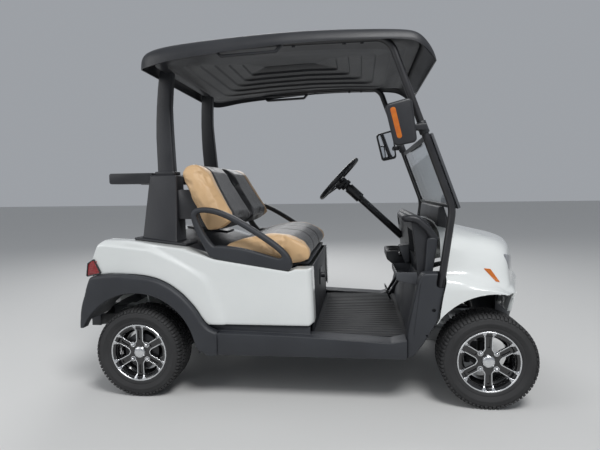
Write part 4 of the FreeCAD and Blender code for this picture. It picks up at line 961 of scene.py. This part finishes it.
def headlamp_lenses():
    """Slanted lamps, from their front view (y, z)."""
    outline = [(y, AXLE_Z + z, 0.010) for y, z in ((0.255, 0.395), (0.285, 0.448), (0.438, 0.478), (0.425, 0.400))]
    cutter = moulding(outline, "YZ", FRONT_AXLE.x + 0.055, FRONT_AXLE.x + 0.26, 0)
    return lens_on_cowl(cutter, front_point(0.045, 0.22, 0.35), front_point(0.26, 0.475, 0.52))


def fender_returns():
    """Pale edges that turn in under the front lip, before the wheels."""
    return both_sides(front_bar([(0.131, 0.300), (0.149, 0.300), (0.127, 0.208), (0.107, 0.208)], 0.262, 0.440, 0.0015))


def apron():
    """Dark face below the lip, between the front wheels."""
    half, parts = 0.25, 24
    rows = []
    for z, drop in ((0.020, 0.066), (0.050, 0.054), (0.150, 0.028), (0.220, 0.018), (0.292, 0.010)):
        places = [half * math.sin(math.pi * k / parts / 2) for k in range(-parts, parts + 1)]
        rows.append([front_point(0.105 + (0.157 - drop) * math.cos(math.asin(y / half)) ** 0.9, y, z) for y in places])
    return applied(outwards(welded(skinned(rows))), "SOLIDIFY", thickness=0.006, offset=0.0)


def side_covers():
    """Covers between the sill and the fender, with a socket round each canopy tube."""
    side = [(-0.366, 0.008), (-0.366, 0.086), (-0.360, 0.148, 0.1), (-0.317, 0.360, 0.05), (-0.296, 0.405, 0.025)]
    side += [(-0.188, 0.407, 0.02), (-0.200, 0.330), (-0.232, 0.182, 0.03), (-0.295, 0.074, 0.1), (-0.337, 0.020)]
    cover = front_bar(side, 0.492, 0.572, 0.009, 4)
    past = 0.60
    socket = [(-0.241, 0.338, 0.022), (-0.187, 0.338, 0.022), (-0.166, 0.480), (-0.220, 0.480)]
    carved(cover, front_bar(socket, 0.518, past))
    for x, z, radius in ((-0.247, 0.238, 0.0085), (-0.278, 0.120, 0.0045)):
        carved(cover, rod(front_point(x, 0.560, z), front_point(x, past, z), radius, 0))
    line = [(-0.3085, 0.355), (-0.3055, 0.355), (-0.3350, 0.120), (-0.3380, 0.120)]
    return both_sides(carved(cover, front_bar(line, 0.5695, past)))


def dash():
    """Dash with its open bins, end rims, tray, cup holders and switch panel."""
    side = [(-0.222, 0.560, 0.02), (-0.243, 0.400), (-0.262, 0.330), (-0.300, 0.330), (-0.312, 0.420)]
    side += [(-0.324, 0.540, 0.02), (-0.334, 0.625, 0.02), (-0.308, 0.662, 0.025), (-0.262, 0.640, 0.03)]
    body = front_bar(side, -0.462, 0.462, 0.006, 3)
    open_bin = [(-0.40, 0.470), (-0.255, 0.460, 0.02), (-0.262, 0.585, 0.02), (-0.40, 0.592)]
    slot = [(-0.40, 0.560), (-0.275, 0.555, 0.01), (-0.275, 0.605, 0.01), (-0.40, 0.612)]
    carved(body, front_bar(open_bin, -0.435, -0.190))
    carved(body, front_bar(slot, 0.330, 0.440))
    rims = [(-0.268, 0.560, 0.02), (-0.216, 0.560, 0.02), (-0.240, 0.404), (-0.262, 0.322)]
    rims = both_sides(front_bar(rims + [(-0.302, 0.322), (-0.277, 0.404)], 0.448, 0.491, 0.006, 3))
    console = [(-0.434, 0.405, 0.02), (-0.434, 0.449, 0.008), (-0.305, 0.449), (-0.305, 0.375)]
    console = front_bar(console + [(-0.345, 0.362, 0.02), (-0.40, 0.378, 0.03)], -0.125, 0.125, 0.005, 3)
    tray = [(-0.406, 0.352, 0.012), (-0.408, 0.388, 0.005), (-0.295, 0.390), (-0.295, 0.334), (-0.34, 0.334, 0.02)]
    tray = front_bar(tray, -0.455, -0.150, 0.003)
    hollow = [(-0.401, 0.362, 0.008), (-0.403, 0.42), (-0.312, 0.42), (-0.312, 0.348, 0.01)]
    carved(tray, front_bar(hollow, -0.447, -0.158))
    rings = []
    for y in (-0.060, 0.060):
        carved(console, rod(front_point(-0.382, y, 0.395), front_point(-0.382, y, 0.470), 0.039, 0, 48))
        ring = [(0.0390, 0.0), (0.0440, 0.0), (0.0450, 0.002), (0.0435, 0.0035), (0.0400, 0.0035), (0.0385, 0.002)]
        upright = Matrix.Rotation(math.pi / 2, 4, "X")
        rings.append(settled(turned(ring, 48), Matrix.Translation(front_point(-0.382, y, 0.449)) @ upright))
    panel = [(-0.374, 0.488, 0.005), (-0.318, 0.494, 0.005), (-0.316, 0.400), (-0.338, 0.391, 0.005)]
    panel = front_bar(panel, -0.185, -0.128, 0.003)
    knob = rod(front_point(-0.356, -0.160, 0.440), front_point(-0.372, -0.160, 0.436), 0.012, 0.003)
    finishes = ((body, CANOPY), (rims, CHARCOAL), (console, CANOPY), (tray, GREY_PLASTIC), (panel, GREY_PLASTIC),
                (knob, GLOSS_BLACK))
    return joined([painted(*pair) for pair in finishes] + [painted(ring, CANOPY) for ring in rings])


def grab_bar():
    """Thick bar that rises from the dash's end and crosses before the passenger."""
    points = [(-0.226, -0.470, 0.545), (-0.262, -0.470, 0.600, 0.06), (-0.312, -0.470, 0.646, 0.06)]
    points += [(-0.365, -0.466, 0.650, 0.028), (-0.365, -0.205, 0.650, 0.028), (-0.312, -0.205, 0.628)]
    return tube([(*front_point(x, y, z), *radius) for x, y, z, *radius in points], 0.0175, 8, 10)


def on_slope(low, high, ahead, thick, y0, y1, edge=0.002):
    """Plate across the cart from y0 to y1, on the slope of the canopy tubes."""
    along = Vector((TUBE_LEAN_X, TUBE_RUN - AXLE_Z)) - TUBE_BEND
    along.normalize()
    square = Vector((along.y, -along.x))
    spots = []
    for z, off in ((low, -0.5), (high, -0.5), (high, 0.5), (low, 0.5)):
        spots.append(tuple(TUBE_BEND + along * ((z - TUBE_BEND.y) / along.y) + square * (ahead + off * thick)))
    return front_bar(spots, y0, y1, edge)


PANES = 0.027        # from the lower pane to the folded one


def windshield_frame():
    """Dark frame of the lower pane, with the hinge and the foot on the cowl."""
    ends = both_sides(on_slope(0.700, 1.016, 0.0, 0.016, 0.490, 0.526))
    hinge = on_slope(1.006, 1.028, PANES / 2, PANES + 0.012, -0.505, 0.505, 0.003)
    low = on_slope(0.700, 0.716, 0.0, 0.016, -0.5, 0.5)
    foot = [(-0.205, 0.585), (-0.192, 0.700, 0.01), (-0.168, 0.700, 0.01), (-0.142, 0.625, 0.02), (-0.132, 0.585)]
    return joined([ends, hinge, low, front_bar(foot, -0.340, 0.340, 0.006, 3)])


def windshield_folded_frame():
    """Pale edge strips of the folded pane."""
    strips = [on_slope(low, high, PANES, 0.014, -0.535, 0.535) for low, high in ((1.014, 1.026), (0.688, 0.700))]
    return joined([both_sides(on_slope(0.690, 1.024, PANES, 0.012, 0.502, 0.550))] + strips)


MIRROR = Vector((-0.2968, 1.060))        # clamp of the mirror, from the front axle


def mirror_bar(points, low, high, edge, segments=2):
    """Moulding beside a canopy tube, from an outline counted from the mirror's clamp."""
    outline = [(MIRROR.x + x, MIRROR.y + z, *radius) for x, z, *radius in points]
    return front_bar(outline, TUBE_Y + low, TUBE_Y + high, edge, segments)


def mirror_heads():
    """Mirror shells on their arms, clamped to the canopy tubes."""
    shell = mirror_bar([(-0.171, 0.098, 0.02), (-0.053, 0.128, 0.02), (-0.029, -0.066, 0.02), (-0.128, -0.085, 0.02)],
                       0.030, 0.067, 0.012, 4)
    for vertex in shell.data.vertices:
        if vertex.co.y > TUBE_Y + 0.050:
            vertex.co.y -= 0.006 * eased((vertex.co.x - FRONT_AXLE.x - MIRROR.x + 0.10) / 0.07)
    arm = mirror_bar([(-0.060, -0.012, 0.008), (-0.060, 0.012, 0.008), (0.014, 0.015, 0.008), (0.014, -0.015, 0.008)],
                     -0.004, 0.040, 0.004)
    centre, half = front_point(MIRROR.x, TUBE_Y, MIRROR.y), Vector((-0.010, 0, 0.026))
    clamp = rod(centre + half, centre - half, 0.0225, 0.003)
    return both_sides(joined([shell, arm, clamp]))


def mirror_strips():
    strip = [(-0.150, 0.082, 0.010), (-0.126, 0.086, 0.010), (-0.094, -0.048, 0.010), (-0.116, -0.053, 0.010)]
    return both_sides(mirror_bar(strip, 0.060, 0.0678, 0.002, 3))


def mirror_glasses():
    glass = [(-0.157, 0.088, 0.014), (-0.062, 0.112, 0.014), (-0.042, -0.052, 0.014), (-0.119, -0.068, 0.014)]
    return both_sides(mirror_bar(glass, 0.0292, 0.034, 0.0004, 1))


# Seats

SEAT_END = 0.496
SEAT_SHRINK = 0.006
SEAT_SPLIT = 0.405        # where the tan ends of the seat meet the black middle
BACK_SPLIT = 0.395
BACK_SLANT = 0.28
VOXEL = 0.009


def seat_block(points, low, high):
    return moulding(rear(points), "XZ", low + SEAT_SHRINK, high - SEAT_SHRINK, 0.018, 3)


def stuffed(piece, pressure, cap, rest=None):
    """Voxel remesh, then cloth under pressure, with each point's travel capped."""
    piece.data.remesh_voxel_size = VOXEL
    use(piece)
    bpy.ops.object.voxel_remesh()
    applied(piece, "SMOOTH", factor=0.5, iterations=18)
    applied(piece, "DISPLACE", strength=-0.006, mid_level=0.0)
    before = [vertex.co.copy() for vertex in piece.data.vertices]
    cloth = piece.modifiers.new("Cloth", "CLOTH")
    cloth.settings.quality = 4
    cloth.settings.use_pressure = True
    cloth.settings.uniform_pressure_force = pressure
    cloth.settings.effector_weights.gravity = 0
    if rest:
        group = piece.vertex_groups.new(name="rest")
        held = [v.index for v in piece.data.vertices if rest(v.co)]
        group.add(held, 1.0, "REPLACE")
        cloth.settings.vertex_group_mass = "rest"
    for step in range(1, 21):
        bpy.context.scene.frame_set(step)
    use(piece)
    bpy.ops.object.modifier_apply(modifier="Cloth")
    bpy.context.scene.frame_set(1)
    for vertex, start in zip(piece.data.vertices, before):
        travel = vertex.co - start
        if travel.length > cap:
            vertex.co = start + travel.normalized() * cap
    piece.vertex_groups.clear()
    return refined(piece, 1)


def seam(piece, place, normal):
    """Piping along a plane's cut through a pad, in a shallow valley."""
    sink, reach = 0.007, 0.013
    straight = Vector(normal).normalized()
    normals = [vertex.normal.copy() for vertex in piece.data.vertices]
    for vertex, out in zip(piece.data.vertices, normals):
        away = (vertex.co - Vector(place)).dot(straight)
        vertex.co -= out * sink * math.exp(-(away / reach) ** 2)
    edit(piece, "EDGE")
    bpy.ops.mesh.bisect(plane_co=place, plane_no=normal)
    bpy.ops.mesh.duplicate()
    bpy.ops.mesh.separate(type="SELECTED")
    clear()
    use([o for o in bpy.context.scene.objects if o.name.startswith(piece.name + ".")][-1])
    bpy.ops.object.convert(target="CURVE")
    cord = bpy.context.object.data
    cord.bevel_depth = 0.0028
    cord.bevel_resolution = 2
    bpy.ops.object.convert(target="MESH")
    return bpy.context.object


def two_tone(piece, test):
    """Tan where the test holds for a face's middle, black elsewhere."""
    painted(piece, TAN, DARK_VINYL)
    for face in piece.data.polygons:
        face.material_index = 0 if test(face.center) else 1


def seat_bottom():
    side = [(0.392, 0.504, 0.008), (0.424, 0.514, 0.02), (0.508, 0.541, 0.06), (0.650, 0.568, 0.12)]
    side += [(0.769, 0.557, 0.06), (0.848, 0.512, 0.035), (0.860, 0.468, 0.02), (0.846, 0.440)]
    side += [(0.788, 0.440), (0.752, 0.427), (0.416, 0.4925), (0.404, 0.495)]
    pad = seat_block(side, -SEAT_END, SEAT_END)
    pad.name = "seat_bottom_pad"

    def on_base(spot):
        return spot.z < AXLE_Z + 0.499 - max(0.0, spot.x - REAR_AXLE.x - 0.416) * 0.19
    stuffed(pad, 1.8, 0.016, on_base)
    cords = [seam(pad, (0, sign * SEAT_SPLIT, 0), (0, 1, 0.35 * sign)) for sign in (1, -1)]
    two_tone(pad, lambda spot: abs(spot.y) > SEAT_SPLIT)
    return pad, joined(cords)


def seat_backs():
    side = [(0.199, 0.886, 0.02), (0.221, 0.926, 0.03), (0.268, 0.938, 0.03), (0.305, 0.924, 0.03), (0.361, 0.818, 0.2)]
    side += [(0.428, 0.706, 0.2), (0.474, 0.641, 0.02), (0.409, 0.600, 0.02), (0.336, 0.585, 0.02)]
    side += [(0.294, 0.677), (0.246, 0.776)]
    pads, cords = [], []
    middle_z = AXLE_Z + 0.72
    for sign in (1, -1):
        low, high = sorted((sign * 0.010, sign * SEAT_END))
        pad = seat_block(side, low, high)
        pad.name = "seat_back_pad_" + ("left" if sign > 0 else "right")
        # The lobe narrows towards its top
        for vertex in pad.data.vertices:
            lift = max(0.0, (vertex.co.z - AXLE_Z - 0.76) / 0.18)
            centre = sign * 0.253
            vertex.co.y = centre + (vertex.co.y - centre) * (1 - 0.16 * lift * lift)
        stuffed(pad, 1.3, 0.012)
        cords.append(seam(pad, (0, sign * BACK_SPLIT, middle_z), (0, 1, BACK_SLANT * sign)))
        two_tone(pad, lambda spot, side=sign: side * spot.y + BACK_SLANT * (spot.z - middle_z) > BACK_SPLIT)
        pads.append(pad)
    return pads, joined(cords)


# Controls

def steering_wheel():
    """Wheel with its finger waves, hub and three spokes, on the column's slope."""
    around, thick = 0.158, 0.0138
    clear()
    bpy.ops.mesh.primitive_torus_add(major_segments=96, minor_segments=20, major_radius=around, minor_radius=thick)
    grip = bpy.context.object
    for vertex in grip.data.vertices:
        far = math.hypot(vertex.co.x, vertex.co.y)
        if far < around:
            turn = math.atan2(vertex.co.y, vertex.co.x)
            push = 0.0016 * (0.5 + 0.5 * math.cos(36 * turn)) * (around - far) / thick
            vertex.co.x *= 1 + push / far
            vertex.co.y *= 1 + push / far
    pad = [(-0.058, 0.030, 0.03), (0.058, 0.030, 0.03), (0.040, -0.052, 0.03), (-0.040, -0.052, 0.03)]
    pieces = [grip, moulding(pad, "XY", -0.052, -0.012, 0.008, 3), rod((0, 0, -0.071), (0, 0, -0.045), 0.036, 0.004)]
    for angle in (0, 180, 270):
        spoke = [(0.030, -0.017, 0.004), (0.150, -0.011, 0.004), (0.150, 0.011, 0.004), (0.030, 0.017, 0.004)]
        arm = moulding(spoke, "XY", -0.036, -0.026, 0.003, 2)
        for vertex in arm.data.vertices:
            vertex.co.z += 0.026 * max(0.0, (vertex.co.x - 0.04) / 0.11)
        pieces.append(settled(arm, Matrix.Rotation(math.radians(angle), 4, "Z")))
    # Local X runs across the cart, local Y up the wheel's slope
    slope = math.radians(43)
    axis, across = Vector((-math.cos(slope), 0, math.sin(slope))), Vector((0, -1, 0))
    turn = Matrix((across, axis.cross(across), axis)).transposed().to_4x4()
    return settled(joined(pieces), Matrix.Translation(front_point(-0.707, 0.270, 0.855)) @ turn)


def floor_ribs():
    """Long ribs on the floor mat."""
    low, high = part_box("floor_mat")
    count, inset, half = 23, 0.030, 0.006
    ribs = []
    for i in range(count):
        y = low[1] + inset + (high[1] - low[1] - 2 * inset) * i / (count - 1)
        foot, crest = high[2] - 0.001, high[2] + 0.0025
        ribs.append(block((low[0] + 0.02, y - half, foot), (high[0] - 0.02, y + half, crest), 0.0012, 1))
    return joined(ribs)


# Maker, name, finish, slot, and where they aren't the usual: nodes, body, smoothing angle
PIECES = [
    (quarters, "body_quarters", WHITE, "white_paint", ["rear_quarter_left", "rear_quarter_right"]),
    (flares, "wheel_flares", CHARCOAL, "textured_black", ["rear_flares"]),
    (tail_lenses, "tail_lamps", RED, "red_lens", ["tail_lights"]),
    (tail_housings, "tail_lamp_housings", GLOSS_BLACK, "canopy_black"),
    (armrests, "armrest_loops", CHARCOAL, "canopy_black", ["armrests"], "chassis", 50),
    (canopy, "canopy", CANOPY, "canopy_black", ["roof"], "chassis", 50),
    (rear_struts, "canopy_struts", CANOPY, "canopy_black", ["rear_struts"]),
    (front_tubes, "canopy_tubes", BLACK_PAINT, "black_metal", ["front_tubes"]),
    (cowl_shell, "front_cowl", WHITE, "white_paint", ["cowl"], "chassis", 35),
    (marker_lenses, "side_markers", AMBER, "amber_lens", ["markers"]),
    (fender_returns, "fender_returns", WHITE, "white_paint"),
    (apron, "front_apron", CHARCOAL, "textured_black", ["nose_lower"]),
    (side_covers, "tube_covers", CHARCOAL, "textured_black", ["side_covers"], "chassis", 35),
    (dash, "dash_console", CANOPY, "canopy_black", ["dashboard"], "chassis", 35),
    (grab_bar, "grab_bar", CANOPY, "black_metal", ["hand_hold"]),
    (windshield_frame, "windshield_frame", CANOPY, "canopy_black", ["windshield_trim"]),
    (windshield_folded_frame, "windshield_folded_frame", GREY_PLASTIC, "canopy_black"),
    (mirror_heads, "mirror_shells", CANOPY, "canopy_black", ["mirrors"]),
    (mirror_strips, "mirror_strips", AMBER, "amber_lens"),
    (mirror_glasses, "mirror_glasses", MIRROR_GLASS, "machined"),
    (front_liners, "front_arch_liners", CHARCOAL, "textured_black"),
    (headlamp_lenses, "headlamps", LAMP, "lamp_lens", ["headlights"]),
    (steering_wheel, "steering_wheel_grip", CANOPY, "canopy_black", ["steering_wheel"], "steering_wheel", 45),
    (floor_ribs, "floor_ribs", MAT, "rubber_mat"),
]
for maker, *rest in PIECES:
    kept(maker(), *rest)

bottom, bottom_cord = seat_bottom()
kept(bottom, "seat_bottom_pad", TAN, "tan_vinyl", ["seat_cushion"], "seat", 60)
kept(bottom_cord, "seat_bottom_piping", DARK_VINYL, "tan_vinyl", (), "seat")
backs, back_cord = seat_backs()
for back in backs:
    kept(back, back.name, TAN, "tan_vinyl", ["backrests"], "chassis", 60)
kept(back_cord, "seat_back_piping", DARK_VINYL, "tan_vinyl")

# Solids that keep their form: finish, slot, body, and the width of each one's rounded edges
DRESSED = [
    (CHARCOAL, "textured_black", "chassis",
     {"sills": 0.006, "rear_bumper": 0.008, "rear_deck": 0.003, "seat_pod_front": 0.003, "floor_pan": 0.003}),
    (CHARCOAL, "textured_black", "seat", {"seat_base": 0.002}),
    (WHITE, "white_paint", "chassis", {"bag_well": 0.005}),
    (CANOPY, "canopy_black", "chassis", {"towers": 0.008, "bag_rack": 0.006, "selector": 0.002}),
    (BLACK_PAINT, "black_metal", "chassis",
     {"bulkhead": 0.001, "steering_column": 0.003, "steering_box": 0.003, "front_suspension": 0.002,
      "rear_axle": 0.003, "backrest_frame": 0.003, "pedals": 0.002}),
    (BLACK_PAINT, "black_metal", "tie_rod", {"tie_rod": 0.001}),
    (BLACK_PAINT, "black_metal", "knuckle_left", {"knuckle_left": 0.001}),
    (BLACK_PAINT, "black_metal", "knuckle_right", {"knuckle_right": 0.001}),
    (BATTERY, "battery_case", "chassis", {"battery_pack": 0.004}),
    (ALUMINIUM, "frame_metal", "chassis", {"frame_rails": 0.004, "cross_members": 0.003}),
    (MAT, "rubber_mat", "chassis", {"floor_mat": 0.001}),
    (CLEAR, "clear_pane", "chassis", {"windshield_lower": 0.0, "windshield_upper": 0.0}),
]
for material, slot, body, widths in DRESSED:
    for node, width in widths.items():
        dressed(node, material, slot, body, width)
# The bumper's lower edge rises towards its ends
bumper_line = AXLE_Z + 0.110
for vertex in bpy.data.objects["rear_bumper_moulded"].data.vertices:
    if vertex.co.z < bumper_line:
        vertex.co.z += 0.052 * eased((abs(vertex.co.y) - 0.20) / 0.22) * (bumper_line - vertex.co.z) / 0.068


# Stage, lamps and camera

CAMERA_PLACE = Vector((0.315, -2.753, 1.013))
CAMERA_YAW, CAMERA_PITCH, CAMERA_ROLL = (math.radians(a) for a in (7.19, 4.3, -0.84))
FOCAL_PIXELS = 477.1
PHOTO_WIDTH = 600
SENSOR = 36.0


def camera():
    ahead = Vector((-math.sin(CAMERA_YAW) * math.cos(CAMERA_PITCH), math.cos(CAMERA_YAW) * math.cos(CAMERA_PITCH),
                    -math.sin(CAMERA_PITCH)))
    flat = Vector((math.cos(CAMERA_YAW), math.sin(CAMERA_YAW), 0))
    above = flat.cross(ahead)
    right = flat * math.cos(CAMERA_ROLL) + above * math.sin(CAMERA_ROLL)
    up = above * math.cos(CAMERA_ROLL) - flat * math.sin(CAMERA_ROLL)
    data = bpy.data.cameras.new("camera")
    data.sensor_width = SENSOR
    data.lens = FOCAL_PIXELS * SENSOR / PHOTO_WIDTH
    eye = bpy.data.objects.new("camera", data)
    bpy.context.collection.objects.link(eye)
    eye.matrix_world = Matrix.Translation(CAMERA_PLACE) @ Matrix((right, up, -ahead)).transposed().to_4x4()
    bpy.context.scene.camera = eye


def lamp(name, place, aim, size, power):
    data = bpy.data.lights.new(name, "AREA")
    data.shape = "DISK"
    data.size = size
    data.energy = power
    light = bpy.data.objects.new(name, data)
    bpy.context.collection.objects.link(light)
    light.location = place
    light.rotation_euler = (Vector(aim) - Vector(place)).to_track_quat("-Z", "Y").to_euler()


def stage():
    clear()
    bpy.ops.mesh.primitive_plane_add(size=60)
    floor = bpy.context.object
    floor.name = "floor"
    pale = bpy.data.materials.new("pale_floor")
    pale.use_nodes = True
    shader = pale.node_tree.nodes["Principled BSDF"]
    shader.inputs["Base Color"].default_value = (0.62, 0.62, 0.61, 1)
    shader.inputs["Roughness"].default_value = 0.85
    floor.data.materials.append(pale)
    world = bpy.data.worlds.new("studio")
    bpy.context.scene.world = world
    world.use_nodes = True
    sky = world.node_tree.nodes["Background"]
    sky.inputs["Color"].default_value = (0.80, 0.84, 0.90, 1)
    sky.inputs["Strength"].default_value = 0.42
    lamp("key", (1.6, -3.2, 5.0), (0.1, 0, 0.6), 2.0, 200)
    lamp("fill", (-3.5, -2.5, 2.6), (0, 0, 0.7), 3.0, 40)
    lamp("back", (-1.0, 4.0, 3.6), (0, 0, 0.8), 3.0, 90)


camera()
stage()
bpy.context.scene.view_settings.view_transform = "Standard"
